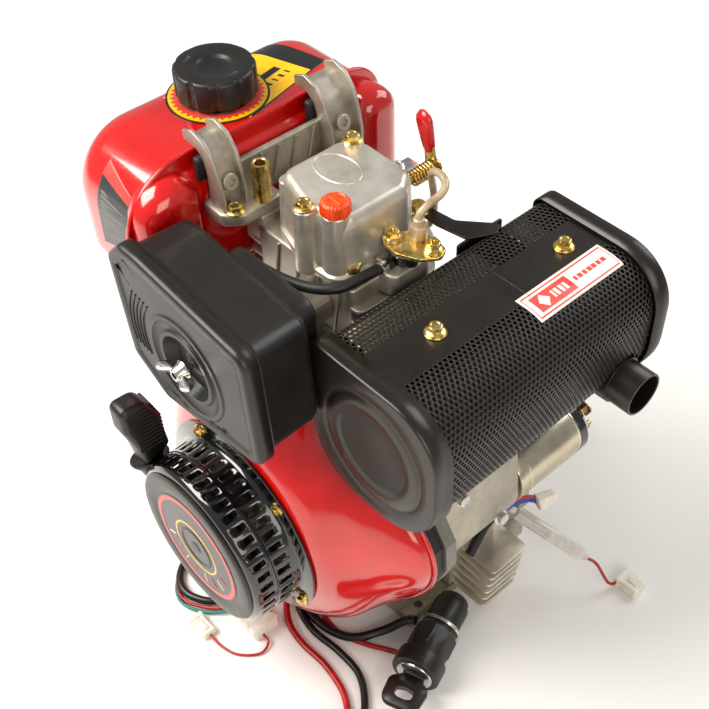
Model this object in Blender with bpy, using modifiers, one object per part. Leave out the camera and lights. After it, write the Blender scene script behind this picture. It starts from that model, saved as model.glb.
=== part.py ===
"""Air-cooled single-cylinder engine with recoil and electric start.

Frame: +Z up, the crankshaft along Y at X = 0, the drive end at +Y, the feet on Z = 0.
"""

import math

import bmesh
import bpy
from mathutils import Matrix, Vector

MM = 0.001

# Driving dimensions in millimetres
CRANK_Z = 155
CYLINDER_Y = 2
TANK_SEAM_X = -100
CAP_CENTRE = (-147, -6)
COWL_SAMPLES = 40
PISTON_BORE_RADIUS = 43.3
COIL_CENTRE = (188, -186)

parts_collection = None
cutters_collection = None
materials = {}


def clear_scene():
    for item in list(bpy.data.objects):
        bpy.data.objects.remove(item, do_unlink=True)


def make_collections():
    global parts_collection, cutters_collection
    parts_collection = bpy.data.collections.new("small_engine")
    cutters_collection = bpy.data.collections.new("small_engine_cutters")
    for collection in (parts_collection, cutters_collection):
        bpy.context.scene.collection.children.link(collection)


def material(name, colour, roughness, metallic):
    if name not in materials:
        made = bpy.data.materials.new(name)
        made.use_nodes = True
        shader = made.node_tree.nodes["Principled BSDF"]
        shader.inputs["Base Color"].default_value = (*colour, 1)
        shader.inputs["Roughness"].default_value = roughness
        shader.inputs["Metallic"].default_value = metallic
        materials[name] = made
    return materials[name]


def cast_aluminium():
    return material("cast_aluminium", (0.48, 0.46, 0.42), 0.55, 0.9)


def machined_steel():
    return material("machined_steel", (0.55, 0.54, 0.52), 0.3, 1.0)


def black_plastic():
    return material("black_plastic", (0.02, 0.02, 0.022), 0.5, 0.0)


def black_steel():
    return material("black_painted_steel", (0.018, 0.017, 0.016), 0.35, 0.2)


def red_paint():
    return material("red_painted_steel", (0.62, 0.01, 0.008), 0.15, 0.2)


def zinc_steel():
    return material("yellow_zinc_steel", (0.62, 0.5, 0.25), 0.3, 1.0)


def black_rubber():
    return material("black_rubber", (0.015, 0.015, 0.016), 0.8, 0.0)


def white_plastic():
    return material("white_plastic", (0.75, 0.73, 0.68), 0.5, 0.0)


def add_mesh(name, bm, finish, cutter=False):
    """Turn a bmesh into an object in the parts or the cutters collection."""
    bmesh.ops.recalc_face_normals(bm, faces=bm.faces[:])
    mesh = bpy.data.meshes.new(name)
    bm.to_mesh(mesh)
    bm.free()
    mesh.shade_smooth()
    mesh.set_sharp_from_angle(angle=math.radians(35))
    made = bpy.data.objects.new(name, mesh)
    if cutter:
        cutters_collection.objects.link(made)
        made.hide_render = True
        made.display_type = "WIRE"
    else:
        parts_collection.objects.link(made)
        mesh.materials.append(finish)
    return made


def add_bevel(made, width, segments=2, angle=40):
    bevel = made.modifiers.new("rounded_edges", "BEVEL")
    bevel.width = width
    bevel.segments = segments
    bevel.limit_method = "ANGLE"
    bevel.angle_limit = math.radians(angle)
    return made


def add_boolean(made, cutter, operation):
    boolean = made.modifiers.new(operation.lower(), "BOOLEAN")
    boolean.object = cutter
    boolean.operation = operation
    boolean.solver = "EXACT"
    return made


def cut(made, *cutters):
    for cutter in cutters:
        add_boolean(made, cutter, "DIFFERENCE")
    return made


def join(made, *others):
    for other in others:
        add_boolean(made, other, "UNION")
    return made


def box(name, low, high, finish=None, bevel=0.0, segments=2):
    """A box between two corners, both in millimetres."""
    low = Vector(low) * MM
    high = Vector(high) * MM
    bm = bmesh.new()
    bmesh.ops.create_cube(bm, size=1.0)
    bmesh.ops.scale(bm, vec=high - low, verts=bm.verts[:])
    made = add_mesh(name, bm, finish, cutter=finish is None)
    made.location = (low + high) / 2
    if bevel:
        add_bevel(made, bevel * MM, segments)
    return made


AXIS_TURN = {
    "X": Matrix.Rotation(math.pi / 2, 4, "Y"),
    "Y": Matrix.Rotation(-math.pi / 2, 4, "X"),
    "Z": Matrix.Identity(4),
}


def cylinder(name, start, length, radius, axis, finish=None, segments=32, end_radius=None):
    """A cylinder or cone in millimetres, from start along +axis."""
    bm = bmesh.new()
    bmesh.ops.create_cone(
        bm, cap_ends=True, segments=segments, depth=length * MM, radius1=radius * MM,
        radius2=(radius if end_radius is None else end_radius) * MM,
        matrix=AXIS_TURN[axis] @ Matrix.Translation((0, 0, length * MM / 2)))
    made = add_mesh(name, bm, finish, cutter=finish is None)
    made.location = Vector(start) * MM
    return made


def rod(name, start, end, radius, finish=None, segments=16):
    """A round bar between two points in millimetres."""
    start = Vector(start) * MM
    end = Vector(end) * MM
    run = end - start
    bm = bmesh.new()
    bmesh.ops.create_cone(
        bm, cap_ends=True, segments=segments, depth=run.length, radius1=radius * MM,
        radius2=radius * MM)
    made = add_mesh(name, bm, finish, cutter=finish is None)
    made.location = (start + end) / 2
    made.rotation_mode = "QUATERNION"
    made.rotation_quaternion = run.to_track_quat("Z", "Y")
    return made


def turned(name, profile, centre, axis, finish=None, steps=28):
    """Turn a closed (radius, height) profile in millimetres about an axis through centre."""
    bm = bmesh.new()
    pairs = list(zip(profile, profile[1:] + profile[:1]))
    if sum(r0 * h1 - r1 * h0 for (r0, h0), (r1, h1) in pairs) > 0:
        profile = profile[::-1]
    loop = [bm.verts.new((radius * MM, 0, height * MM)) for radius, height in profile]
    for first, second in zip(loop, loop[1:] + loop[:1]):
        if first.co.x > 0 or second.co.x > 0:
            bm.edges.new((first, second))
    made = add_mesh(name, bm, finish, cutter=finish is None)
    screw = made.modifiers.new("turned", "SCREW")
    screw.steps = steps
    screw.render_steps = steps
    screw.use_merge_vertices = True
    screw.merge_threshold = 0.00005
    made.location = Vector(centre) * MM
    made.rotation_mode = "QUATERNION"
    made.rotation_quaternion = AXIS_TURN[axis].to_quaternion()
    return made


def rounded(corners, arc_points=4):
    """Corners (a, b, radius) in millimetres to an outline with round corners."""
    outline = []
    count = len(corners)
    for index, (a, b, radius) in enumerate(corners):
        here = Vector((a, b))
        before = Vector(corners[index - 1][:2]) - here
        after = Vector(corners[(index + 1) % count][:2]) - here
        if radius <= 0:
            outline.append((here.x, here.y))
            continue
        half = before.angle(after) / 2
        reach = radius / math.tan(half)
        centre = here + (before.normalized() + after.normalized()).normalized() * (
            radius / math.sin(half))
        first = here + before.normalized() * reach - centre
        last = here + after.normalized() * reach - centre
        sweep = first.angle_signed(last)
        for step in range(arc_points + 1):
            turn = Matrix.Rotation(-sweep * step / arc_points, 2)
            point = centre + turn @ first
            outline.append((point.x, point.y))
    return outline


PLATE_TURN = {
    "X": Matrix(((0, 0, 1, 0), (1, 0, 0, 0), (0, 1, 0, 0), (0, 0, 0, 1))),
    "Y": Matrix(((1, 0, 0, 0), (0, 0, -1, 0), (0, 1, 0, 0), (0, 0, 0, 1))),
    "Z": Matrix.Identity(4),
}


def plate(name, outline, low, high, axis, finish=None, bevel=0.0, segments=2):
    """A flat outline in millimetres, solid from low to high along an axis.

    The outline is (y, z) for axis X, (x, z) for axis Y and (x, y) for axis Z.
    """
    curve = bpy.data.curves.new(name + "_outline", "CURVE")
    curve.dimensions = "2D"
    curve.fill_mode = "BOTH"
    curve.extrude = (high - low) / 2 * MM
    spline = curve.splines.new("POLY")
    spline.points.add(len(outline) - 1)
    for point, (a, b) in zip(spline.points, outline):
        point.co = (a * MM, b * MM, 0, 1)
    spline.use_cyclic_u = True
    source = bpy.data.objects.new(name + "_outline", curve)
    bpy.context.scene.collection.objects.link(source)
    turn = PLATE_TURN[axis].copy()
    middle = (low + high) / 2 * MM
    offset = {"X": (middle, 0, 0), "Y": (0, middle, 0), "Z": (0, 0, middle)}[axis]
    turn.translation = Vector(offset)
    source.matrix_world = turn
    made = curve_to_mesh(name, source, finish)
    if bevel:
        add_bevel(made, bevel * MM, segments)
    return made


def curve_to_mesh(name, source, finish):
    """Replace a curve object by a closed mesh object in world coordinates."""
    bpy.context.view_layer.update()
    evaluated = source.evaluated_get(bpy.context.evaluated_depsgraph_get())
    mesh = bpy.data.meshes.new_from_object(evaluated)
    bm = bmesh.new()
    bm.from_mesh(mesh)
    bm.transform(source.matrix_world)
    bmesh.ops.remove_doubles(bm, verts=bm.verts[:], dist=0.000005)
    curve = source.data
    bpy.data.objects.remove(source, do_unlink=True)
    bpy.data.curves.remove(curve)
    bpy.data.meshes.remove(mesh)
    return add_mesh(name, bm, finish, cutter=finish is None)


def smooth_path(points, spacing):
    """Points (mm) read at a spacing from a smooth curve through the given points."""
    points = [Vector(point) for point in points]
    padded = [2 * points[0] - points[1]] + points + [2 * points[-1] - points[-2]]
    fine = []
    for index in range(1, len(padded) - 2):
        p0, p1, p2, p3 = padded[index - 1:index + 3]
        for step in range(20):
            t = step / 20
            fine.append(0.5 * (2 * p1 + (p2 - p0) * t + (2 * p0 - 5 * p1 + 4 * p2 - p3) * t * t
                               + (3 * p1 - p0 - 3 * p2 + p3) * t ** 3))
    fine.append(points[-1])
    length = sum((b - a).length for a, b in zip(fine, fine[1:]))
    count = max(2, round(length / spacing))
    route = [fine[0]]
    walked = 0.0
    for a, b in zip(fine, fine[1:]):
        step = (b - a).length
        while len(route) < count and walked + step >= length * len(route) / count:
            share = (length * len(route) / count - walked) / step
            route.append(a.lerp(b, share))
        walked += step
    route.append(fine[-1])
    return route


def tube(name, points, radius, finish, spacing=None, resolution=2):
    """A round tube in millimetres along a smooth curve through the points."""
    curve = bpy.data.curves.new(name + "_route", "CURVE")
    curve.dimensions = "3D"
    curve.bevel_depth = radius * MM
    curve.bevel_resolution = resolution
    curve.use_fill_caps = True
    route = smooth_path(points, spacing or radius * 5)
    spline = curve.splines.new("POLY")
    spline.points.add(len(route) - 1)
    for point, place in zip(spline.points, route):
        point.co = (*(place * MM), 1)
    source = bpy.data.objects.new(name + "_route", curve)
    bpy.context.scene.collection.objects.link(source)
    return curve_to_mesh(name, source, finish)


def gear_outline(teeth, tip_radius, root_radius):
    """A toothed outline about the origin in millimetres."""
    outline = []
    for tooth in range(teeth):
        for share, radius in ((0.0, root_radius), (0.25, root_radius), (0.45, tip_radius),
                              (0.8, tip_radius)):
            angle = 2 * math.pi * (tooth + share) / teeth
            outline.append((radius * math.cos(angle), radius * math.sin(angle)))
    return outline


def move_outline(outline, a, b):
    return [(x + a, y + b) for x, y in outline]


def place_origin(made, point):
    """Move an object's origin to a point in metres without moving its shape."""
    bpy.context.view_layer.update()
    shift = made.matrix_world.inverted() @ Vector(point)
    made.data.transform(Matrix.Translation(-shift))
    made.matrix_world = made.matrix_world @ Matrix.Translation(shift)


def loft(name, rings, finish=None, capped=True):
    """Join rings of as many points each (mm) into one skin, with flat ends when capped."""
    bm = bmesh.new()
    made_rings = [[bm.verts.new(Vector(point) * MM) for point in ring] for ring in rings]
    count = len(made_rings[0])
    for near, far in zip(made_rings, made_rings[1:]):
        for index in range(count):
            after = (index + 1) % count
            bm.faces.new((near[index], near[after], far[after], far[index]))
    if capped:
        bm.faces.new(made_rings[0][::-1])
        bm.faces.new(made_rings[-1])
    return add_mesh(name, bm, finish, cutter=finish is None)


def cowl_radius(angle):
    """Radius (mm) of the cooling cowl's rim about the crank, by the angle from +X."""
    starter_side = 47 * math.exp(-(((math.degrees(angle) - 18) / 26) ** 2))
    duct = 40 * math.exp(-(((math.degrees(angle) - 90) / 22) ** 2))
    return 138 + starter_side + duct


def cowl_outline(inset=0.0):
    outline = []
    for sample in range(COWL_SAMPLES):
        angle = 2 * math.pi * sample / COWL_SAMPLES - math.pi / 2
        radius = cowl_radius(angle) - inset
        outline.append((radius * math.cos(angle), CRANK_Z + radius * math.sin(angle)))
    return outline


# ---------------------------------------------------------------- crankcase and crank train

def make_crankcase():
    case = box("crankcase", (-105, -46, 8), (105, 128, 236), cast_aluminium(), 8, 2)
    foot = box("foot_block", (-118, -40, 0), (118, 122, 12))
    barrel = box("barrel_block", (-56, -45.5, 230), (56, 58, 348))
    join(case, foot, barrel)
    for fin in range(9):
        low = 246 + fin * 11
        join(case, box(f"fin_{fin}", (-78, -45, low), (70, 72, low + 3.4)))
    front_bore = cylinder("front_bore", (0, -60, CRANK_Z), 50, 20.4, "Y")
    cylinder_bore = cylinder("cylinder_bore", (0, CYLINDER_Y, 205), 160, PISTON_BORE_RADIUS, "Z")
    cavity = box("case_cavity", (-97, -30, 24), (97, 140, 224))
    cut(case, cavity, cylinder_bore, front_bore)
    for x in (-111, 111):
        for y in (-22, 104):
            cut(case, cylinder(f"foot_hole_{x}_{y}", (x, y, -5), 30, 4.5, "Z", segments=12))


def make_crankcase_cover():
    outline = rounded([(-105, 8, 14), (105, 8, 14), (105, 236, 22), (-105, 236, 22)])
    cover = plate("crankcase_cover", outline, 128.4, 144, "Y", cast_aluminium(), 2, 1)
    boss = cylinder("cover_boss", (0, 140, CRANK_Z), 26, 46, "Y", end_radius=38)
    join(cover, boss)
    cut(cover, cylinder("cover_bore", (0, 110, CRANK_Z), 70, 20.4, "Y"))


def make_crankshaft():
    front = [(0, -26 + 18), (50, -8), (50, -26), (20, -26), (20, -66), (15, -66.5), (15, -152),
             (0, -152)]
    nose = turned("crankshaft", front, (0, 0, CRANK_Z), "Y", machined_steel(), 24)
    rear = [(0, 237), (11.7, 237), (12.7, 236), (12.7, 168), (19.8, 167), (19.8, 114),
            (15, 113.6), (15, 97), (20, 96.6), (20, 30), (50, 30), (50, 12), (0, 12)]
    drive = turned("crank_drive_end", rear, (0, 0, CRANK_Z), "Y", None, 24)
    pin = cylinder("crank_pin", (0, -14, CRANK_Z + 32), 32, 16, "Y", segments=20)
    gear = plate("crank_gear", move_outline(gear_outline(16, 22, 19.4), 0, CRANK_Z), 99, 111, "Y")
    join(nose, drive, pin, gear)
    keyway = box("keyway", (-3.2, 178, CRANK_Z + 9.5), (3.2, 245, CRANK_Z + 16))
    cut(nose, keyway)


def make_camshaft():
    cam_x, cam_z = -52, CRANK_Z - 41.4
    shaft = cylinder("camshaft", (cam_x, -29.4, cam_z), 157, 9, "Y", machined_steel(), 20)
    join(shaft, plate("cam_gear", move_outline(gear_outline(32, 44, 41.4), cam_x, cam_z), 99,
                      111, "Y"))
    for lobe, (y, lift) in enumerate(((42, 5), (64, -5))):
        join(shaft, cylinder(f"cam_lobe_{lobe}", (cam_x + lift, y, cam_z), 10, 12, "Y",
                             segments=20))


def make_piston():
    profile = [(0, 346), (42.6, 346), (42.9, 278), (34, 278), (34, 320), (0, 320)]
    turned("piston", profile, (0, CYLINDER_Y, 0), "Z", cast_aluminium(), 32)


def make_flywheel():
    profile = [(15.4, -73), (28, -73), (28, -80), (94, -80), (96, -73), (112, -73), (116, -75),
               (116, -84), (112, -85), (111, -104), (60, -104), (58, -98), (15.4, -98)]
    turned("flywheel", profile, (0, 0, CRANK_Z), "Y", machined_steel(), 32)
    fan = plate("cooling_fan", move_outline(gear_outline(12, 106, 62), 0, CRANK_Z), -126, -104.4,
                "Y", black_plastic())
    cut(fan, cylinder("fan_bore", (0, -140, CRANK_Z), 50, 30, "Y"))
    place_origin(fan, (0, -0.115, CRANK_Z * MM))
    cup = [(15.4, -98.4), (26, -98.4), (29.5, -104), (29.5, -126), (46, -128), (46, -156),
           (43.5, -156), (43.5, -130.5), (15.4, -130.5)]
    turned("recoil_cup", cup, (0, 0, CRANK_Z), "Y", black_steel(), 24)


# ---------------------------------------------------------------- cylinder head and valve gear

def make_cylinder_head():
    head = box("cylinder_head", (-58, -45.5, 348.4), (56, 56, 404), cast_aluminium(), 3, 1)
    for fin in range(3):
        low = 356 + fin * 14
        join(head, box(f"head_fin_{fin}", (-70, -44, low), (64, 70, low + 3.4)))
    injector_boss = box("injector_boss", (40, -12, 350), (71, 40, 392))
    bracket_post = box("bracket_post", (-74, -44, 380), (-50, -20, 412.6))
    join(head, injector_boss, bracket_post)
    cut(head, cylinder("injector_seat", (60.3, 8, 392), 30, 11, "Z", segments=24))


def make_rocker_cover():
    outline = rounded([(-37, -34, 12), (10, -48, 12), (43, -46, 10), (47, -30, 8), (47, 24, 10),
                       (34, 41, 12), (-18, 43, 14), (-37, 28, 12)], 3)
    cover = plate("rocker_cover", outline, 404.4, 461, "Z", cast_aluminium(), 7, 2)
    shaft_boss = cylinder("shaft_boss", (14, 30, 432), 27, 12.5, "Y", segments=24,
                          end_radius=10.5)
    join(cover, shaft_boss)
    cut(cover, cylinder("shaft_bore", (14, 38, 432), 30, 4.4, "Y", segments=16))


def make_filler_plug():
    plug = cylinder("oil_filler_plug", (33, -36, 461.4), 12, 11.5, "Z",
                    material("orange_plastic", (0.9, 0.18, 0.02), 0.4, 0.0), 6)
    add_bevel(plug, 1.2 * MM, 1)


def make_decompression_lever():
    shaft = cylinder("decompression_lever", (14, 39, 432), 44, 4, "Y", zinc_steel(), 16)
    outline = rounded([(7, 425, 6), (21, 425, 6), (16, 446, 4), (9, 470, 4), (-1, 468, 4),
                       (6, 444, 4)], 3)
    join(shaft, plate("lever_plate", outline, 80, 83.4, "Y"))
    grip = rounded([(11, 443, 2), (14, 448, 2), (12, 479, 4), (-6, 475, 4), (-2, 442, 2)], 2)
    join(shaft, plate("lever_grip", grip, 76.5, 86.5, "Y"))
    place_origin(shaft, (14 * MM, 60 * MM, 432 * MM))


def make_injector():
    body = [(0, 424.6), (9, 424.6), (9, 414), (10.5, 412), (10.5, 392.4), (0, 392.4)]
    turned("injector", body, (60.3, 8, 0), "Z", black_steel(), 24)
    outline = rounded([(48, 6, 4), (49.6, -7, 4), (68, -9, 8), (84, -1, 8), (93, 12, 4), (89, 21, 4),
                       (76, 24, 8), (57, 20, 8)], 3)
    clamp = plate("injector_clamp", outline, 425, 430.4, "Z", zinc_steel(), 1, 1)
    for x, y in ((53.5, 0.5), (84, 13.5)):
        join(clamp, cylinder(f"clamp_nut_{x}", (x, y, 430), 6.5, 6.6, "Z", segments=6),
             cylinder(f"clamp_stud_{x}", (x, y, 432), 10, 3, "Z", segments=10))
    union = cylinder("injector_union", (65, 17, 429), 14, 6, "Z", segments=6)
    join(clamp, union)


def make_injector_pipe():
    route = [(65, 17, 445.4), (65, 17.6, 449), (66, 26, 454.5), (67, 38, 458), (63, 46, 461), (54, 50, 462),
             (45, 52, 459), (38, 56, 450), (34, 62, 434), (30, 68, 416), (22, 76, 396), (6, 86, 366),
             (-24, 93, 336), (-58, 97, 312), (-74, 98, 300), (-76, 98, 288.6)]
    tube("injector_pipe", route, 3, machined_steel(), 12)


def make_injection_pump():
    pump = box("injection_pump", (-96, 80, 236.6), (-56, 118, 262), cast_aluminium(), 4, 2)
    join(pump, cylinder("pump_barrel", (-76, 98, 260), 28, 11, "Z", segments=24))


def make_speed_lever():
    pivot = cylinder("speed_lever", (-122, 40, 190), 16.6, 6, "X", zinc_steel(), 20)
    outline = rounded([(33, 183, 6), (47, 183, 6), (46, 196, 4), (70, 246, 7), (56, 250, 7),
                       (34, 198, 4)], 3)
    join(pivot, plate("speed_lever_arm", outline, -125, -121.6, "X"))
    place_origin(pivot, (-0.114, 0.04, 0.19))


def make_dipstick():
    stick = cylinder("oil_dipstick", (-130, 92, 60), 24.6, 12, "X", black_plastic(), 24)
    join(stick, box("dipstick_grip", (-138, 80, 57), (-128, 104, 63)))
    place_origin(stick, (-0.12, 0.092, 0.06))


# ---------------------------------------------------------------- intake and air cleaner

def air_cleaner_outline(inset=0.0):
    low_x, high_x = -80 + inset, 93 - inset
    low_z, high_z = 306 + inset, 449 - inset
    return rounded([(low_x + 48, low_z + 2, 8), (high_x - 2, low_z + 20, 10),
                    (high_x - 8, high_z - 14, 10), (low_x + 40, high_z, 8),
                    (low_x + 20, high_z, 6), (low_x, high_z - 20, 6), (low_x + 8, low_z + 26, 8)],
                   3)


def make_air_cleaner():
    body = plate("air_cleaner_body", air_cleaner_outline(4), -151.6, -103, "Y", black_plastic())
    rear = rounded([(-28, 336, 12), (66, 340, 12), (66, 425, 12), (-28, 428, 12)], 3)
    join(body, plate("air_cleaner_rear", rear, -105, -84, "Y"))
    hollow = plate("air_cleaner_hollow", air_cleaner_outline(7.5), -160, -116, "Y")
    cut(body, hollow, cylinder("intake_bore", (16, -120, 374), 50, 17, "Y", segments=24))
    filter_ring = [(43, -120), (43, -146), (26, -146), (26, -120)]
    turned("air_filter_element", filter_ring, (6, 0, 370), "Y",
           material("filter_foam", (0.2, 0.2, 0.21), 0.95, 0.0), 32)
    join(body, box("stud_bar", (-16, -117.5, 365), (44, -113, 375)),
         cylinder("cover_stud", (6, -165.2, 370), 49.2, 3, "Y", segments=12))
    cover = plate("air_cleaner_cover", air_cleaner_outline(), -165, -152, "Y", black_plastic(),
                  3, 2)
    cut(cover, plate("cover_hollow", air_cleaner_outline(3), -162, -150, "Y"),
        cylinder("stud_bore", (6, -170, 370), 30, 3.5, "Y", segments=12))
    nut = cylinder("wing_nut", (6, -171, 370), 5.6, 6.5, "Y", machined_steel(), 16)
    wing = rounded([(-13, 364, 3), (-7, 361, 3), (6, 366, 3), (19, 361, 3), (25, 364, 3),
                    (22, 376, 4), (6, 374, 3), (-10, 376, 4)], 2)
    join(nut, plate("nut_wings", wing, -176, -167, "Y"))
    cut(nut, cylinder("nut_bore", (6, -180, 370), 20, 3.4, "Y", segments=12))
    place_origin(nut, (0.006, -0.168, 0.37))


def make_intake_pipe():
    cylinder("intake_pipe", (16, -83.6, 374), 37.7, 20, "Y", cast_aluminium(), 28)


# ---------------------------------------------------------------- fuel tank and bracket

def tank_outline(inset=0.0):
    return rounded([(-128 + inset, 334 + inset, 26), (120 - inset, 334 + inset, 26),
                    (120 - inset, 462 - inset, 36 - inset / 2),
                    (-128 + inset, 462 - inset, 54 - inset / 2)], 4)


def make_fuel_tank():
    seam = TANK_SEAM_X
    depth = 34
    rings = []
    for turn in (0, 25, 50, 70, 90):
        inset = depth * (1 - math.sin(math.radians(turn)))
        x = seam - 100 + depth * (1 - math.cos(math.radians(turn)))
        rings.append([(x, y, z) for y, z in tank_outline(inset * 0.72)])
    rings.append([(seam, y, z) for y, z in tank_outline()])
    tank = loft("fuel_tank", rings, red_paint())
    rim = rounded([(-137, 326, 30), (128, 326, 30), (128, 462.2, 30), (-137, 462.2, 60)], 4)
    join(tank, plate("tank_seam", rim, seam - 3, seam + 1.4, "X"))
    for label, low_y, high_y, high_x in (("front", -126, -80, -79), ("rear", 88, 120, -66)):
        join(tank, box(f"tank_bulge_{label}", (seam - 4, low_y, 342), (high_x, high_y, 444),
                       None, 8, 1))
    join(tank, box("tank_inner_wall", (seam - 4, -90, 345), (seam + 11, 98, 446), None, 4, 1))
    cap_x, cap_y = CAP_CENTRE[0], CAP_CENTRE[1]
    neck = cylinder("tank_neck", (cap_x, cap_y, 448), 26, 24, "Z", segments=28)
    spigot = cylinder("tank_spigot", (-98, -93, 400), 26, 4.5, "X", segments=12)
    join(tank, neck, spigot)
    hollow = plate("tank_hollow", tank_outline(22), seam - 90, seam - 8, "X")
    throat = cylinder("tank_throat", (cap_x, cap_y, 430), 60, 20, "Z", segments=24)
    cut(tank, hollow, throat)


def make_fuel_cap():
    profile = [(0, 488), (13, 488), (15, 491), (31, 491), (33.5, 488.5), (33.5, 466.5),
               (24.6, 466.5), (24.6, 475), (0, 475)]
    turned("fuel_cap", profile, (*CAP_CENTRE, 0), "Z", black_plastic(), 28)


def make_tank_bracket():
    ledge = plate("tank_bracket", rounded([(-86, -74, 4), (-60, -74, 8), (-50, -60, 8),
                                           (-50, -20, 6), (-86, -20, 4)], 3), 413, 425, "Z",
                  cast_aluminium(), 1.5, 1)
    join(ledge, box("bracket_web", (-80, -60, 414), (-74, 74, 452)))
    for label, low_y, high_y in (("front", -70, -46), ("rear", 40, 74)):
        arch = rounded([(-80, 414, 0), (-64, 414, 2), (-62, 440, 8), (-70, 474, 14),
                        (-92, 484, 8), (-104, 479, 2), (-103, 473, 1), (-90, 474, 4),
                        (-79.6, 464, 8)], 3)
        join(ledge, plate(f"bracket_arm_{label}", arch, low_y, high_y, "Y"))
    foot = box("bracket_rear_foot", (-80, 40, 404), (-50, 74, 420))
    join(ledge, foot)
    for index, (low_y, high_y) in enumerate(((-70, -38), (38, 76))):
        box(f"tank_cushion_{('front', 'rear')[index]}", (-88.4, low_y, 447), (-80.5, high_y, 463),
            black_rubber(), 1, 1)
    standoff = cylinder("bracket_standoff", (-55, -36, 425.4), 34, 8, "Z", zinc_steel(), 6)
    cut(standoff, cylinder("standoff_thread", (-55, -36, 440), 30, 4.2, "Z", segments=12))


def make_leak_off_hose():
    route = [(57.2, -4, 409.5), (56, -14, 409.5), (54, -32, 409.5), (50, -52, 409), (34, -65, 407),
             (8, -72, 404), (-22, -76, 402), (-44, -85, 400.4), (-60, -93, 400), (-71.6, -93, 400)]
    tube("leak_off_hose", route, 4, black_rubber(), 12)


# ---------------------------------------------------------------- exhaust

def muffler_outline(inset=0.0):
    return rounded([(72 + inset, 406 - inset, 10), (205 - inset, 406 - inset, 46),
                    (205 - inset, 268 + inset, 60), (72 + inset, 268 + inset, 50)], 5)


def make_muffler():
    body = plate("muffler_body", rounded([(88, 392, 30), (190, 392, 44), (190, 284, 48),
                                          (88, 284, 44)], 5), -84.4, 141.4, "Y",
                 machined_steel())
    shield = plate("heat_shield", muffler_outline(3), -84.4, 141.4, "Y", black_steel())
    cut(shield, plate("shield_hollow", muffler_outline(5), -100, 160, "Y"),
        cylinder("pipe_hole", (170, 112, 308), 60, 20.6, "X", segments=24),
        cylinder("elbow_hole", (60, 20, 372), 26, 19, "X", segments=24))
    for label, low, high, inner_low, inner_high in (
            ("front", -101, -84.8, -98.6, -80), ("rear", 141.8, 158, 138, 155.6)):
        cap = plate(f"muffler_cap_{label}", muffler_outline(), low, high, "Y", black_steel(),
                    3, 2)
        cut(cap, plate(f"cap_hollow_{label}", muffler_outline(2.2), inner_low, inner_high, "Y"))
    turned("tail_pipe", [(19.6, 226), (19.6, 190.4), (17.6, 190.4), (17.6, 226)], (0, 112, 308),
           "X", black_steel(), 32)
    join(body, cylinder("exhaust_elbow", (71.4, 20, 372), 24, 17, "X", segments=24))
    box("muffler_bracket", (40, 70, 398), (71.4, 102, 401), black_steel(), 1, 1)


# ---------------------------------------------------------------- cooling cowl and starters

def make_cowl():
    stations = ((-70.4, 1.0, 0, 0), (-80, 1.0, 0, 2), (-92, 0.72, 0.28, 2), (-104, 0.3, 0.7, 2),
                (-118, 0.0, 1.0, 12), (-129, 0.0, 1.0, 26), (-133, 0.0, 1.0, 36),
                (-133, 0.0, 1.0, 62))
    rings = []
    for y, cowl_share, round_share, shrink in stations:
        ring = []
        for sample in range(COWL_SAMPLES):
            angle = 2 * math.pi * sample / COWL_SAMPLES - math.pi / 2
            radius = cowl_share * cowl_radius(angle) + round_share * 134 - shrink
            ring.append((radius * math.cos(angle), y, CRANK_Z + radius * math.sin(angle)))
        rings.append(ring)
    shroud = loft("fan_shroud", rings, red_paint(), capped=False)
    shell = shroud.modifiers.new("sheet", "SOLIDIFY")
    shell.thickness = 1.8 * MM
    shell.offset = -1
    seal = plate("shroud_seal", cowl_outline(1), -70, -58.4, "Y", black_rubber())
    cut(seal, plate("seal_opening", cowl_outline(14), -80, -50, "Y"))
    backplate = plate("shroud_backplate", cowl_outline(-2), -58, -46.4, "Y", cast_aluminium())
    cut(backplate, cylinder("backplate_bore", (0, -80, CRANK_Z), 60, 24, "Y"))


def make_recoil_starter():
    shell = [(98, -133.4), (98, -135.4), (86, -137), (83, -140), (81, -179), (77, -183),
             (20, -183), (20, -180.8), (76, -180.8), (78.6, -178), (80.6, -139), (83.5, -133.4)]
    turned("recoil_housing", shell, (0, 0, CRANK_Z), "Y", black_steel(), 36)
    cap = [(0, -183.4), (74, -183.4), (76, -184.4), (75, -186), (0, -186)]
    turned("recoil_cap", cap, (0, 0, CRANK_Z), "Y", black_plastic(), 36)
    pulley = [(10, -160), (68, -160), (68, -163), (60, -165), (60, -173), (68, -175), (68, -178),
              (10, -178)]
    turned("recoil_pulley", pulley, (0, 0, CRANK_Z), "Y", black_plastic(), 28)


def make_recoil_handle():
    outline = rounded([(-192, 252, 5), (-193, 280, 6), (-169, 279, 10), (-160, 256, 12),
                       (-156, 215, 3), (-162, 212, 3), (-166, 204, 2), (-181, 204, 2)], 3)
    plate("recoil_handle", outline, -86, -66, "X", black_plastic(), 3, 2)


def make_electric_starter():
    housing = rounded([(107, 154, 26), (171, 150, 30), (158, 262, 20), (108, 262, 18)], 5)
    plate("starter_housing", housing, -46, 46, "Y", cast_aluminium(), 3, 2)
    motor = [(0, 140), (26, 140), (31.5, 136), (31.5, 46.4), (0, 46.4)]
    turned("starter_motor", motor, (138, 0, 186), "Y", machined_steel(), 36)
    solenoid = [(0, 132), (9, 132), (9, 126), (20, 126), (20, 46.4), (0, 46.4)]
    turned("starter_solenoid", solenoid, (130, 0, 239.6), "Y", machined_steel(), 32)


def make_regulator():
    base = box("regulator", (105.4, 14, 14), (117, 76, 67), cast_aluminium(), 1, 1)
    for fin in range(5):
        top = 67 - fin * 11
        shift = -3 * fin
        join(base, box(f"regulator_fin_{fin}", (114, 28 + shift, top - 3), (160, 75 + shift, top)))


# ---------------------------------------------------------------- leads and the key switch

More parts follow.
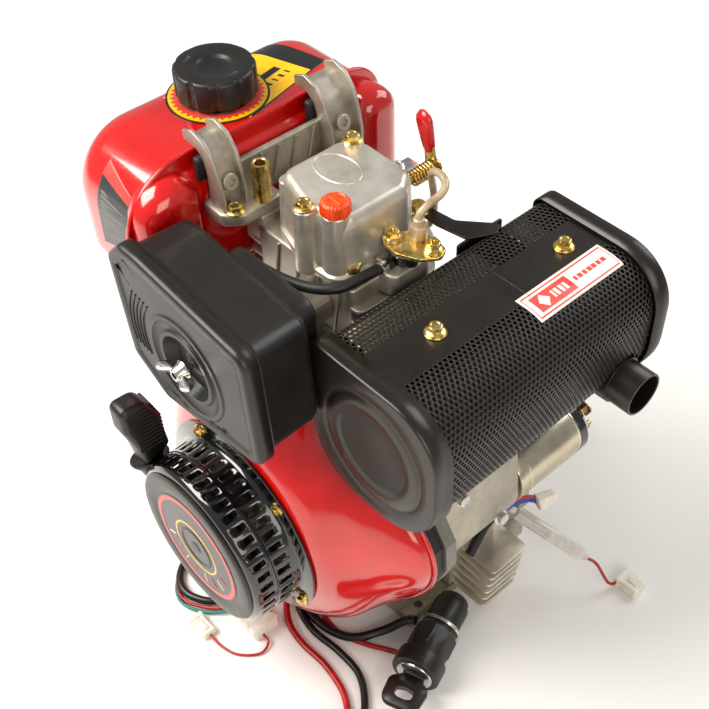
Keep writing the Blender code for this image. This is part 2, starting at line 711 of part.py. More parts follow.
def make_key_switch():
    finish = black_plastic()
    rear = Vector((137, 3, 24))
    front = Vector((168, -82, 24))
    run = (front - rear).normalized()
    body = rod("key_switch", rear, front, 21, finish, 28)
    join(body, rod("switch_bezel", front - run * 8, front + run * 2, 23.4, None, 28))
    key_start = front + run * 2.4
    side = Vector((run.y, -run.x, 0))
    corners = []
    for along, across in ((0, -8), (0, 8), (10, 20), (34, 17), (34, -17), (10, -20)):
        point = key_start + run * along + side * across
        corners.append((point.x, point.y, 5))
    key = plate("ignition_key", rounded(corners, 3), 20, 28, "Z", black_plastic())
    hole_centre = key_start + run * 22
    cut(key, cylinder("key_hole", (hole_centre.x, hole_centre.y, 10), 30, 7, "Z", segments=20))
    place_origin(key, key_start * MM)


def make_leads():
    red = material("red_pvc", (0.6, 0.02, 0.02), 0.4, 0.0)
    black = material("black_pvc", (0.015, 0.015, 0.015), 0.5, 0.0)
    tube("red_lead", RED_LEAD_ROUTE, 3.5, red, 14)
    turned("red_lead_coil", [(51, 14.4), (51, 0.4), (30, 0.4), (30, 14.4)],
           (COIL_CENTRE[0], COIL_CENTRE[1], 0), "Z", red, 24)
    box("red_lead_terminal", (176, -191, 0.4), (200, -181, 4), machined_steel())
    tube("black_loom", BLACK_LOOM_ROUTE, 4.5, black, 16)
    tube("harness_lead", HARNESS_ROUTE, 4, black, 14)
    tube("signal_lead", SIGNAL_LEAD_ROUTE, 1.3, red, 6)
    box("signal_plug", (-32, -196, 0.4), (-6, -182, 9), white_plastic(), 1, 1)
    box("loom_connector", (-14, -160, 0.4), (30, -132, 14), white_plastic(), 2, 1)


RED_LEAD_ROUTE = [(0, -46.6, 9.5), (0, -72, 8), (10, -104, 5), (34, -124, 4), (62, -130, 4),
                  (94, -129, 4), (124, -134, 4), (140, -141.4, 4), (150.6, -149.4, 4)]
BLACK_LOOM_ROUTE = [(20, -46.6, 9), (20, -68, 8), (30, -98, 5), (60, -103, 5), (90, -92, 5),
                    (107, -67, 9), (116, -50, 16), (122, -43.8, 22), (127.6, -41.4, 24)]
HARNESS_ROUTE = [(-24, -46.6, 9.5), (-30, -72, 8), (-58, -104, 5), (-86, -132, 4.4),
                 (-92, -154, 4.4), (-80, -172, 4.4), (-60, -178, 4.4), (-38, -168, 4.4),
                 (-27, -152, 5), (-16.2, -148.6, 6)]
SIGNAL_LEAD_ROUTE = [(30.4, -152, 6), (39, -153, 4), (42, -166, 2), (28, -182, 1.7),
                     (10, -188, 1.7), (-5.6, -189, 4)]


def make_fuse_chain():
    start = Vector((128, 84, 88))
    end = Vector((200, 122, 42))
    rod("fuse_holder", start, end, 7, material("clear_plastic", (0.8, 0.8, 0.78), 0.3, 0.0), 20)
    run = (end - start).normalized()
    route = [end + run * 0.4, end + run * 12, (222, 132, 14), (226, 138, 8), (226, 141.2, 7)]
    tube("fuse_lead", route, 1.6, material("red_pvc", (0.6, 0.02, 0.02), 0.4, 0.0), 8)
    box("fuse_plug", (224, 142, 0.4), (250, 160, 12), white_plastic(), 2, 1)


def main():
    clear_scene()
    make_collections()
    make_crankcase()
    make_crankcase_cover()
    make_crankshaft()
    make_camshaft()
    make_piston()
    make_flywheel()
    make_cylinder_head()
    make_rocker_cover()
    make_filler_plug()
    make_decompression_lever()
    make_injector()
    make_injector_pipe()
    make_injection_pump()
    make_speed_lever()
    make_dipstick()
    make_air_cleaner()
    make_intake_pipe()
    make_fuel_tank()
    make_fuel_cap()
    make_tank_bracket()
    make_leak_off_hose()
    make_muffler()
    make_cowl()
    make_recoil_starter()
    make_recoil_handle()
    make_electric_starter()
    make_regulator()
    make_key_switch()
    make_leads()
    make_fuse_chain()


main()
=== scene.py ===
"""Looks of a small air-cooled diesel engine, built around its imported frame.

Tables are in millimetres in the frame's axes: X towards the muffler, -Y the recoil side, Z up.
"""

import math

import bmesh
import bpy
from mathutils import Matrix, Vector
from mathutils.bvhtree import BVHTree


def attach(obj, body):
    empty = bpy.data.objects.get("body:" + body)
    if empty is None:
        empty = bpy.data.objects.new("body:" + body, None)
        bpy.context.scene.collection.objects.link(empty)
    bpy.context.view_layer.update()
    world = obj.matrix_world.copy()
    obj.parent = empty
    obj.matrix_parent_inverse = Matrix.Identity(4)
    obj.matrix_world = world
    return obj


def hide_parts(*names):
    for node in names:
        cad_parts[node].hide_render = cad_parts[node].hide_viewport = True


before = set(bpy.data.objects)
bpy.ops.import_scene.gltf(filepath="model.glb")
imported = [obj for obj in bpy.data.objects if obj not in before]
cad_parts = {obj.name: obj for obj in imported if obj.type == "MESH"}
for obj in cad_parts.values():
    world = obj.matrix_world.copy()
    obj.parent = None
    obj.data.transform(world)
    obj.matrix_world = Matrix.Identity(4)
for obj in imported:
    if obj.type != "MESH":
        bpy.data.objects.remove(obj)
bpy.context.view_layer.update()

bl_info = {
    "name": "Small diesel engine",
    "version": (1, 0, 0),
    "blender": (4, 5, 0),
    "location": "View3D > Sidebar > Engine",
    "description": "Builds the pieces, finishes and studio of a small diesel engine",
    "category": "Object",
}

MM = 0.001
CRANK_Z = 155
CAP_CENTRE = (-147, -6)


# ---------------------------------------------------------------- colours and finishes

def linear(text):
    """An sRGB hex colour as linear red, green, blue and alpha."""
    shares = [int(text[place:place + 2], 16) / 255 for place in (1, 3, 5)]
    return tuple(s / 12.92 if s <= 0.04045 else ((s + 0.055) / 1.055) ** 2.4
                 for s in shares) + (1.0,)


def add_node(tree, kind, settings=(), links=()):
    """Add one node, set its properties and inputs, and link its inputs to (node, output)."""
    node = tree.nodes.new(kind)
    for key, value in dict(settings).items():
        if key == "ramp":
            while len(node.color_ramp.elements) < len(value):
                node.color_ramp.elements.new(0.5)
            for element, (place, colour) in zip(node.color_ramp.elements, value):
                element.position = place
                element.color = colour
        elif key in node.inputs:
            node.inputs[key].default_value = value
        else:
            setattr(node, key, value)
    for key, (source, output) in dict(links).items():
        tree.links.new(source.outputs[output], node.inputs[key])
    return node


# name: slot, shades, (roughness low, high), metallic, coat, (patch mm, grain mm, grain depth mm),
# stretch of the pattern along X, Y and Z
FINISHES = {
    # Shot-blasted sand casting: warm grey, uneven, with a peened grain that scatters light.
    "cast_aluminium_blasted": ("cast_aluminium", ("#A09A8D", "#B5AEA1", "#C8C1B3"), (0.38, 0.58),
                               0.85, 0.0, (22, 0.9, 0.10), (1, 1, 1)),
    # Die casting under clear lacquer: paler and smoother, with faint flow marks.
    "cast_aluminium_lacquered": ("cast_aluminium", ("#BDB5A7", "#D6CFC2", "#E6E0D4"), (0.28, 0.44),
                                 0.75, 0.15, (30, 0.7, 0.05), (1, 1, 1)),
    # Turned steel: fine lines round the axis give long soft highlights.
    "steel_turned": ("machined_steel", ("#8A877F", "#BDB9B0", "#D4D0C8"), (0.2, 0.36), 1.0, 0.0,
                     (3, 0.5, 0.02), (1, 12, 1)),
    # Aluminised sheet: bright with a faint spangle. The same finish also paints the backlight strips under
    # the heat shield, painted light where light shows through the holes.
    "steel_aluminised": ("machined_steel", ("#BDB39C", "#CFC5AE", "#DDD3BD"), (0.2, 0.3), 1.0,
                         0.0, (26, 1.2, 0.015), (1, 1, 1)),
    # Stoved heat-resistant paint: brown-black satin with a fine tooth.
    "paint_black_heat_resistant": ("black_painted_steel", ("#120E0A", "#1A140E", "#231B13"),
                                   (0.3, 0.42), 0.1, 0.15, (35, 0.8, 0.02), (1, 1, 1)),
    # Gloss enamel on pressed sheet: deep black with sharp reflections.
    "enamel_black_gloss": ("gloss_black_steel", ("#060607", "#0B0B0C", "#111112"), (0.1, 0.2),
                           0.0, 1.0, (40, 4.0, 0.01), (1, 1, 1)),
    # Stoved gloss enamel: saturated red with a slight orange peel under a clear skin.
    "enamel_red_gloss": ("red_enamel", ("#B40704", "#C60A06", "#D60E09"), (0.12, 0.2), 0.0,
                         1.0, (60, 4.0, 0.012), (1, 1, 1)),
    # Moulded ABS with a spark-eroded texture: soft highlights over a fine grain.
    "abs_black_grained": ("black_plastic", ("#0B0A08", "#120F0D", "#191512"), (0.36, 0.48), 0.0,
                          0.1, (45, 0.9, 0.05), (1, 1, 1)),
    # Moulded nitrile rubber: dull, with a faint bloom.
    "rubber_moulded": ("black_rubber", ("#0B0B0B", "#131313", "#1E1D1C"), (0.42, 0.6), 0.0,
                       0.0, (16, 0.8, 0.04), (1, 1, 1)),
    # Yellow chromate over zinc: gold that drifts to pale green and pink.
    "steel_yellow_zinc": ("zinc_steel", ("#B98732", "#D6B25E", "#E6D08E", "#D2A65E"),
                          (0.2, 0.34), 1.0, 0.0, (8, 0.8, 0.02), (1, 1, 1)),
    # Bright zinc: cold silver with small drifting clouds.
    "steel_bright_zinc": ("bright_zinc_steel", ("#B2B1AD", "#D2D1CC", "#ECEBE6"), (0.14, 0.28),
                          1.0, 0.0, (9, 0.8, 0.02), (1, 1, 1)),
    # Moulded polypropylene: strong orange that lightens at thin edges.
    "polypropylene_orange": ("orange_plastic", ("#D83A02", "#EA4704", "#F45A0C"), (0.26, 0.4),
                             0.0, 0.1, (6, 0.8, 0.03), (1, 1, 1)),
    # Natural nylon: milky, faintly yellow, half gloss.
    "nylon_natural": ("white_plastic", ("#D8D2C2", "#E8E3D6", "#F3F0E8"), (0.3, 0.45), 0.0,
                      0.1, (10, 0.9, 0.03), (1, 1, 1)),
    # Extruded PVC insulation: half gloss, with slow changes of gloss along the run.
    "pvc_red": ("red_pvc", ("#8F0A10", "#AF1117", "#C81C20"), (0.26, 0.4), 0.0, 0.2,
                (14, 1.0, 0.02), (1, 1, 1)),
    "pvc_black": ("black_pvc", ("#080808", "#101011", "#191919"), (0.28, 0.44), 0.0, 0.2,
                  (14, 1.0, 0.03), (1, 1, 1)),
    "pvc_teal": ("black_pvc", ("#0A5F56", "#0E7A6D", "#15907F"), (0.28, 0.42), 0.0, 0.2,
                 (14, 1.0, 0.02), (1, 1, 1)),
    "pvc_blue": ("black_pvc", ("#12307F", "#1A3FA3", "#2450BF"), (0.28, 0.42), 0.0, 0.2,
                 (14, 1.0, 0.02), (1, 1, 1)),
    # Dipped plastisol grip: thick, glossy and slightly wavy.
    "plastisol_red": ("red_pvc", ("#A3100E", "#BE1512", "#CF2420"), (0.22, 0.34), 0.0, 0.5,
                      (8, 2.5, 0.06), (1, 1, 1)),
    # Open-cell filter foam: dark and deeply pitted.
    "foam_open_cell": ("filter_foam", ("#1C1C1E", "#2C2C2E", "#3C3C3F"), (0.85, 0.98), 0.0,
                       0.0, (6, 1.6, 0.9), (1, 1, 1)),
    # Painted backplate: flat grey primer over pressed sheet.
    "primer_grey": ("cast_aluminium", ("#6D6A64", "#7D7A73", "#8B877F"), (0.45, 0.6), 0.2, 0.0,
                    (30, 0.9, 0.04), (1, 1, 1)),
    # Printed vinyl: even colour under a smooth laminate.
    "vinyl_yellow": ("white_plastic", ("#E8AE00", "#F2BC00", "#F8C808"), (0.24, 0.34), 0.0, 0.3,
                     (30, 2.0, 0.01), (1, 1, 1)),
    "vinyl_black": ("black_plastic", ("#0A0A0A", "#111111", "#181716"), (0.3, 0.42), 0.0, 0.3,
                    (30, 2.0, 0.01), (1, 1, 1)),
    "vinyl_white": ("white_plastic", ("#DDD5CC", "#E9E2DA", "#F2ECE6"), (0.3, 0.42), 0.0, 0.3,
                    (30, 2.0, 0.01), (1, 1, 1)),
    "vinyl_red": ("red_enamel", ("#C43A33", "#D4463D", "#DC5349"), (0.3, 0.42), 0.0, 0.3,
                  (30, 2.0, 0.01), (1, 1, 1)),
    "vinyl_slate": ("black_plastic", ("#26282A", "#2F3133", "#393B3D"), (0.3, 0.42), 0.0, 0.3,
                    (30, 2.0, 0.01), (1, 1, 1)),
    # Baked epoxy on steel pipe: cream, half gloss.
    "paint_cream_pipe": ("bright_zinc_steel", ("#A39072", "#B9A486", "#CDBA9C"), (0.26, 0.4),
                         0.2, 0.2, (12, 0.8, 0.02), (1, 1, 1)),
    # Tinned copper tags: pale gold where the tin is thin.
    "copper_tinned": ("machined_steel", ("#B98A5E", "#D8C39A", "#E6DCC4"), (0.2, 0.34), 1.0,
                      0.0, (4, 0.7, 0.02), (1, 1, 1)),
}


def finish(name):
    """The material of one row of FINISHES, made on first use."""
    if name in bpy.data.materials:
        return bpy.data.materials[name]
    _, shades, (smooth, rough), metallic, coat, sizes, stretch = FINISHES[name]
    patch, grain, depth = sizes
    made = bpy.data.materials.new(name)
    made.use_nodes = True
    tree = made.node_tree
    tree.nodes.clear()
    place = add_node(tree, "ShaderNodeTexCoord")
    scaled = add_node(tree, "ShaderNodeMapping", {"Scale": stretch}, {"Vector": (place, "Object")})
    clouds = add_node(tree, "ShaderNodeTexNoise", {"Scale": 1 / (patch * MM), "Detail": 5.0,
                                                   "Roughness": 0.6}, {"Vector": (scaled, 0)})
    last = len(shades) - 1
    ramp = [(0.28 + 0.44 * index / last, linear(shade)) for index, shade in enumerate(shades)]
    colour = add_node(tree, "ShaderNodeValToRGB", {"ramp": ramp}, {"Fac": (clouds, 0)})
    fine = add_node(tree, "ShaderNodeTexNoise", {"Scale": 1 / (grain * MM), "Detail": 2.0},
                    {"Vector": (scaled, 0)})
    mixed = add_node(tree, "ShaderNodeMath", {"operation": "ADD"},
                     {0: (clouds, 0), 1: (fine, 0)})
    gloss = add_node(tree, "ShaderNodeMapRange", {"From Min": 0.7, "From Max": 1.3,
                                                  "To Min": smooth, "To Max": rough},
                     {"Value": (mixed, 0)})
    bump = add_node(tree, "ShaderNodeBump", {"Distance": depth * MM, "Strength": 1.0},
                    {"Height": (fine, 0)})
    shader = add_node(tree, "ShaderNodeBsdfPrincipled",
                      {"Metallic": metallic, "Coat Weight": coat, "Coat Roughness": 0.06},
                      {"Base Color": (colour, 0), "Roughness": (gloss, 0), "Normal": (bump, 0)})
    add_node(tree, "ShaderNodeOutputMaterial", {}, {"Surface": (shader, 0)})
    return made


def clear_plastic():
    """Moulded clear polyethylene: milky and half see-through, as on a fuse holder."""
    name = "polyethylene_clear"
    if name in bpy.data.materials:
        return bpy.data.materials[name]
    made = bpy.data.materials.new(name)
    made.use_nodes = True
    tree = made.node_tree
    tree.nodes.clear()
    place = add_node(tree, "ShaderNodeTexCoord")
    clouds = add_node(tree, "ShaderNodeTexNoise", {"Scale": 1 / (9 * MM), "Detail": 3.0},
                      {"Vector": (place, "Object")})
    milk = [(0.3, linear("#DEDCD4")), (0.7, linear("#F6F5F1"))]
    colour = add_node(tree, "ShaderNodeValToRGB", {"ramp": milk}, {"Fac": (clouds, 0)})
    shader = add_node(tree, "ShaderNodeBsdfPrincipled",
                      {"Roughness": 0.22, "Transmission Weight": 0.35, "IOR": 1.5},
                      {"Base Color": (colour, 0)})
    add_node(tree, "ShaderNodeOutputMaterial", {}, {"Surface": (shader, 0)})
    return made


def material_of(name):
    return clear_plastic() if name == "polyethylene_clear" else finish(name)


# ---------------------------------------------------------------- making pieces

def add_piece(made, look, body="engine", stands_for=()):
    """Give an object its finish, its body and the CAD nodes that it stands for."""
    bpy.context.scene.collection.objects.link(made)
    made.data.materials.append(material_of(look))
    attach(made, body)
    if stands_for:
        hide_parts(*([stands_for] if isinstance(stands_for, str) else stands_for))
    return made


def skin(name, points, faces, look, body="engine", stands_for=(), sharp=35):
    """A mesh piece from points in millimetres and faces."""
    bm = bmesh.new()
    verts = [bm.verts.new(Vector(point) * MM) for point in points]
    for face in faces:
        bm.faces.new([verts[index] for index in face])
    bmesh.ops.remove_doubles(bm, verts=bm.verts[:], dist=0.00001)
    bmesh.ops.recalc_face_normals(bm, faces=bm.faces[:])
    mesh = bpy.data.meshes.new(name)
    bm.to_mesh(mesh)
    bm.free()
    mesh.shade_smooth()
    mesh.set_sharp_from_angle(angle=math.radians(sharp))
    return add_piece(bpy.data.objects.new(name, mesh), look, body, stands_for)


def ring_faces(rings, count, first=0, closed=True):
    """Quads that join rings of as many points each, numbered from first."""
    faces = []
    for ring in range(rings - 1):
        for index in range(count if closed else count - 1):
            after = (index + 1) % count
            low, high = first + ring * count, first + (ring + 1) * count
            faces.append((low + index, low + after, high + after, high + index))
    return faces


def loft(name, rings, look, body="engine", stands_for=(), sharp=35, caps=True):
    """A skin through rings of points, closed with flat ends when it has caps."""
    count = len(rings[0])
    points = [point for ring in rings for point in ring]
    faces = ring_faces(len(rings), count)
    if caps:
        faces.append(tuple(range(count))[::-1])
        faces.append(tuple(range(len(points) - count, len(points))))
    return skin(name, points, faces, look, body, stands_for, sharp)


def add_thickness(made, thickness, offset=-1):
    sheet = made.modifiers.new("sheet", "SOLIDIFY")
    sheet.thickness = thickness * MM
    sheet.offset = offset
    return made


def turned(name, profile, centre, axis, look, body="engine", stands_for=(), steps=64, sharp=35,
           shape=None):
    """Turn (radius, height) pairs about an axis; shape(angle, radius) may change a radius."""
    turn = Vector(axis).to_track_quat("Z", "Y")
    points = []
    for radius, height in profile:
        for step in range(steps):
            angle = 2 * math.pi * step / steps
            here = shape(angle, radius) if shape and radius > 0 else radius
            point = turn @ Vector((here * math.cos(angle), here * math.sin(angle), height))
            points.append(Vector(centre) + point)
    bm = bmesh.new()
    verts = [bm.verts.new(point * MM) for point in points]
    for face in ring_faces(len(profile), steps):
        bm.faces.new([verts[index] for index in face])
    bmesh.ops.remove_doubles(bm, verts=bm.verts[:], dist=0.000004)
    bmesh.ops.recalc_face_normals(bm, faces=bm.faces[:])
    mesh = bpy.data.meshes.new(name)
    bm.to_mesh(mesh)
    bm.free()
    mesh.shade_smooth()
    mesh.set_sharp_from_angle(angle=math.radians(sharp))
    return add_piece(bpy.data.objects.new(name, mesh), look, body, stands_for)


def rounded(corners, arc_points=8):
    """Corners (a, b, radius) to an outline with round corners."""
    outline = []
    count = len(corners)
    for index, (a, b, radius) in enumerate(corners):
        here = Vector((a, b))
        before = Vector(corners[index - 1][:2]) - here
        after = Vector(corners[(index + 1) % count][:2]) - here
        if radius <= 0:
            outline.append((here.x, here.y))
            continue
        half = before.angle(after) / 2
        reach = radius / math.tan(half)
        way = (before.normalized() + after.normalized()).normalized()
        centre = here + way * (radius / math.sin(half))
        first = here + before.normalized() * reach - centre
        last = here + after.normalized() * reach - centre
        sweep = first.angle_signed(last)
        for step in range(arc_points + 1):
            point = centre + Matrix.Rotation(-sweep * step / arc_points, 2) @ first
            outline.append((point.x, point.y))
    return outline


def inset_outline(outline, distance):
    """The outline moved inwards by a distance along its own normals."""
    area = sum(a[0] * b[1] - b[0] * a[1] for a, b in zip(outline, outline[1:] + outline[:1]))
    side = 1 if area > 0 else -1
    moved = []
    for index, point in enumerate(outline):
        here = Vector(point)
        back = (here - Vector(outline[index - 1])).normalized()
        on = (Vector(outline[(index + 1) % len(outline)]) - here).normalized()
        way = (back + on).normalized()
        lean = max(0.5, way.dot(on))
        shift = Vector((-way.y, way.x)) * (side * distance / lean)
        moved.append((here.x + shift.x, here.y + shift.y))
    return moved


def even_outline(outline, count=160):
    """The outline read at even steps of its own length."""
    corners = [Vector(point) for point in outline]
    corners.append(corners[0])
    runs = [0.0]
    for a, b in zip(corners, corners[1:]):
        runs.append(runs[-1] + (b - a).length)
    even, index = [], 0
    for step in range(count):
        distance = runs[-1] * step / count
        while runs[index + 1] < distance:
            index += 1
        share = (distance - runs[index]) / (runs[index + 1] - runs[index])
        point = corners[index].lerp(corners[index + 1], share)
        even.append((point.x, point.y))
    return even


PLACE_ON = {
    "X": lambda a, b, along: (along, a, b),
    "Y": lambda a, b, along: (a, along, b),
    "Z": lambda a, b, along: (a, b, along),
}
EDGE_STEPS = (0, 30, 60, 90)


def plate(name, outline, low, high, axis, edge, look, body="engine", stands_for=(), sharp=35):
    """A solid plate between two heights along an axis, with its edges rounded by edge."""
    rings = []
    turns = [math.radians(turn) for turn in EDGE_STEPS]
    for base, way in ((low, 1), (high, -1)):
        part = []
        for turn in turns:
            inset = edge * (1 - math.sin(turn))
            height = base + way * edge * (1 - math.cos(turn))
            part.append([PLACE_ON[axis](a, b, height) for a, b in inset_outline(outline, inset)])
        rings += part if way == 1 else part[::-1]
    return loft(name, rings, look, body, stands_for, sharp)


def box(name, low, high, edge, look, body="engine", stands_for=()):
    """A block between two corners with every edge rounded."""
    corners = [(low[0], low[1], edge), (high[0], low[1], edge), (high[0], high[1], edge),
               (low[0], high[1], edge)]
    return plate(name, rounded(corners, 4), low[2], high[2], "Z", edge * 0.9, look, body,
                 stands_for)


def smooth_path(points, spacing):
    """Points read at a spacing from a smooth curve through the given points."""
    points = [Vector(point) for point in points]
    padded = [2 * points[0] - points[1]] + points + [2 * points[-1] - points[-2]]
    fine = []
    for index in range(1, len(padded) - 2):
        p0, p1, p2, p3 = padded[index - 1:index + 3]
        for step in range(20):
            t = step / 20
            fine.append(0.5 * (2 * p1 + (p2 - p0) * t + (2 * p0 - 5 * p1 + 4 * p2 - p3) * t * t
                               + (3 * p1 - p0 - 3 * p2 + p3) * t ** 3))
    fine.append(points[-1])
    length = sum((b - a).length for a, b in zip(fine, fine[1:]))
    count = max(2, round(length / spacing))
    route = [fine[0]]
    walked = 0.0
    for a, b in zip(fine, fine[1:]):
        step = (b - a).length
        while len(route) < count and walked + step >= length * len(route) / count:
            route.append(a.lerp(b, (length * len(route) / count - walked) / step))
        walked += step
    route.append(fine[-1])
    return route


def tube(name, route, radius, look, body="engine", stands_for=(), closed=False):
    """A round tube that follows a route, as a curve of one spline."""
    curve = bpy.data.curves.new(name, "CURVE")
    curve.dimensions = "3D"
    curve.bevel_depth = radius * MM
    curve.bevel_resolution = 4
    curve.use_fill_caps = True
    spline = curve.splines.new("POLY")
    spline.points.add(len(route) - 1)
    for point, place in zip(spline.points, route):
        point.co = (*(Vector(place) * MM), 1)
    spline.use_cyclic_u = closed
    spline.use_smooth = True
    return add_piece(bpy.data.objects.new(name, curve), look, body, stands_for)


def hexagon(angle, apothem):
    """Radius of a hexagon at an angle."""
    return apothem / math.cos((angle % (math.pi / 3)) - math.pi / 6)


def bolt(name, place, axis, across, head, flange, look="steel_yellow_zinc", body="engine",
         stud=0.0):
    """A hexagon flange bolt, or a flange nut on a stud when stud is its length past the nut."""
    apothem = across / 2
    corner = apothem / math.cos(math.pi / 6)

    def shape(angle, radius):
        return min(radius, hexagon(angle, apothem)) if radius <= corner else radius

    profile = [(0, -0.4), (flange, -0.4), (flange, 0.9), (flange * 0.9, 1.5), (corner, 2.0),
               (corner, head - 1.1), (apothem * 1.04, head - 0.3), (apothem * 0.9, head)]
    if stud:
        profile += [(apothem * 0.62, head), (apothem * 0.6, head - 0.5), (apothem * 0.52, head - 0.5),
                    (apothem * 0.52, head + stud - 0.7), (apothem * 0.42, head + stud), (0, head + stud)]
    else:
        profile += [(apothem * 0.72, head), (apothem * 0.6, head - 0.35), (0, head - 0.35)]
    return turned(name, profile, place, axis, look, body, steps=48, sharp=28, shape=shape)


def washer(name, place, axis, radius, bore, thick, look="steel_yellow_zinc", body="engine"):
    profile = [(bore, 0), (radius - 0.3, 0), (radius, 0.3), (radius, thick - 0.3),
               (radius - 0.3, thick), (bore, thick), (bore, 0)]
    return turned(name, profile, place, axis, look, body, steps=48)


def surface_tree(*targets):
    """One search tree over the shown surfaces of some pieces, in metres."""
    bpy.context.view_layer.update()
    graph = bpy.context.evaluated_depsgraph_get()
    points, faces = [], []
    for target in targets:
        shown = target.evaluated_get(graph)
        mesh = shown.to_mesh()
        first = len(points)
        points += [shown.matrix_world @ vertex.co for vertex in mesh.vertices]
        faces += [[first + index for index in polygon.vertices] for polygon in mesh.polygons]
        shown.to_mesh_clear()
    return BVHTree.FromPolygons(points, faces)


def decal(name, tree, corners, cells, lift, towards, looks, paint, body="engine"):
    """A printed label laid on a surface; paint(u, v) gives the look's number, or None for a hole."""
    wide, high = cells
    a, b, c, d = [Vector(corner) for corner in corners]
    towards = Vector(towards).normalized()
    points = []
    for row in range(high + 1):
        for column in range(wide + 1):
            u, v = column / wide, row / high
            point = a.lerp(b, u).lerp(d.lerp(c, u), v)
            start = (point - towards * 60) * MM
            hit = tree.ray_cast(start, towards, 0.2)[0]
            landed = hit / MM if hit else point
            points.append(landed - towards * lift)
    faces, numbers = [], []
    for row in range(high):
        for column in range(wide):
            number = paint((column + 0.5) / wide, (row + 0.5) / high)
            if number is not None:
                low = row * (wide + 1) + column
                faces.append((low, low + 1, low + wide + 2, low + wide + 1))
                numbers.append(number)
    made = skin(name, points, faces, looks[0], body, sharp=60)
    for look in looks[1:]:
        made.data.materials.append(material_of(look))
    made.data.polygons.foreach_set("material_index", numbers)
    return add_thickness(made, 0.25, 1 if towards.dot(Vector(made.data.polygons[0].normal)) > 0 else -1)


# ---------------------------------------------------------------- what a user may change

class EngineSizes(bpy.types.PropertyGroup):
    """Sizes in millimetres that a user may change."""

    hole: bpy.props.FloatProperty(name="Shield hole", description="Diameter of the shield's holes (mm)",
                                  default=3.2, min=1.0, max=4.2)
    pitch: bpy.props.FloatProperty(name="Hole pitch", description="Distance between holes (mm)",
                                   default=4.6, min=3.0, max=12.0)
    sheet: bpy.props.FloatProperty(name="Shield sheet", description="Thickness of the shield (mm)",
                                   default=1.1, min=0.5, max=2.0)
    slots: bpy.props.IntProperty(name="Recoil slots", description="Slots round the recoil housing",
                                 default=42, min=12, max=60)
    scallops: bpy.props.IntProperty(name="Cap scallops", description="Scallops of the fuel cap",
                                    default=10, min=4, max=20)


class EngineStudio(bpy.types.PropertyGroup):
    """Light and floor of the stage."""

    floor: bpy.props.FloatVectorProperty(name="Floor", description="Colour of the floor",
                                         subtype="COLOR", size=3, default=linear("#F4F3F1")[:3],
                                         min=0.0, max=1.0)
    key_power: bpy.props.FloatProperty(name="Key light", description="Power of the key light (W)",
                                       default=68.0, min=0.0)
    fill_power: bpy.props.FloatProperty(name="Fill light", description="Power of the fill (W)",
                                        default=16.0, min=0.0)
    sky: bpy.props.FloatProperty(name="Surround", description="Strength of the even light",
                                 default=0.34, min=0.0)


# ---------------------------------------------------------------- camera, light and floor

LENS_MM = 57.28
LENS_SHIFT = (-0.05475, 0.03008)
AZIMUTH, ELEVATION, ROLL = 47.22, 46.78, -0.45
EYE = (0.532476, -0.442848, 0.97314)


class ENGINE_OT_stage(bpy.types.Operator):
    """Set up the camera, the soft light and the pale floor"""

    bl_idname = "engine.stage"
    bl_label = "Stage"

    def execute(self, context):
        studio = context.scene.engine_studio
        turn, rise, roll = (math.radians(angle) for angle in (AZIMUTH, ELEVATION, ROLL))
        back = Vector((math.sin(turn) * math.cos(rise), -math.cos(turn) * math.cos(rise),
                       math.sin(rise)))
        right = (-back).cross(Vector((0, 0, 1))).normalized()
        up = right.cross(-back)
        columns = (right * math.cos(roll) + up * math.sin(roll),
                   up * math.cos(roll) - right * math.sin(roll), back)
        lens = bpy.data.cameras.new("camera")
        lens.lens = LENS_MM
        lens.sensor_width = 36
        lens.shift_x, lens.shift_y = LENS_SHIFT
        lens.clip_start = 0.01
        camera = bpy.data.objects.new("camera", lens)
        matrix = Matrix(columns).transposed().to_4x4()
        matrix.translation = Vector(EYE)
        camera.matrix_world = matrix
        context.scene.collection.objects.link(camera)
        context.scene.camera = camera

        mesh = bpy.data.meshes.new("floor")
        reach = 3.0
        mesh.from_pydata([(-reach, -reach, 0), (reach, -reach, 0), (reach, reach, 0),
                          (-reach, reach, 0)], [], [(0, 1, 2, 3)])
        floor = bpy.data.objects.new("floor", mesh)
        paper = bpy.data.materials.new("floor_paper_matt")
        paper.use_nodes = True
        shader = paper.node_tree.nodes["Principled BSDF"]
        shader.inputs["Base Color"].default_value = (*studio.floor, 1)
        shader.inputs["Roughness"].default_value = 0.9
        mesh.materials.append(paper)
        context.scene.collection.objects.link(floor)

        middle = Vector((0.02, 0.0, 0.25))
        for name, place, size, power, tint in (
                ("key", (-0.9, -1.1, 1.9), 1.4, studio.key_power, "#FFFBF4"),
                ("fill", (1.7, -0.6, 1.2), 1.2, studio.fill_power, "#FFF3E2"),
                ("back", (0.3, 1.6, 1.5), 1.2, studio.fill_power, "#FFFFFF")):
            lamp = bpy.data.lights.new(name, "AREA")
            lamp.size = size
            lamp.energy = power
            lamp.color = linear(tint)[:3]
            made = bpy.data.objects.new(name, lamp)
            made.location = place
            made.rotation_mode = "QUATERNION"
            made.rotation_quaternion = (middle - Vector(place)).to_track_quat("-Z", "Y")
            context.scene.collection.objects.link(made)
        world = bpy.data.worlds.new("even_light")
        world.use_nodes = True
        background = world.node_tree.nodes["Background"]
        background.inputs["Color"].default_value = (1, 1, 1, 1)
        background.inputs["Strength"].default_value = studio.sky
        # The plain sRGB view keeps the paint as saturated as its base colours.
        context.scene.view_settings.view_transform = "Standard"
        context.scene.world = world
        return {"FINISHED"}


# ---------------------------------------------------------------- leads

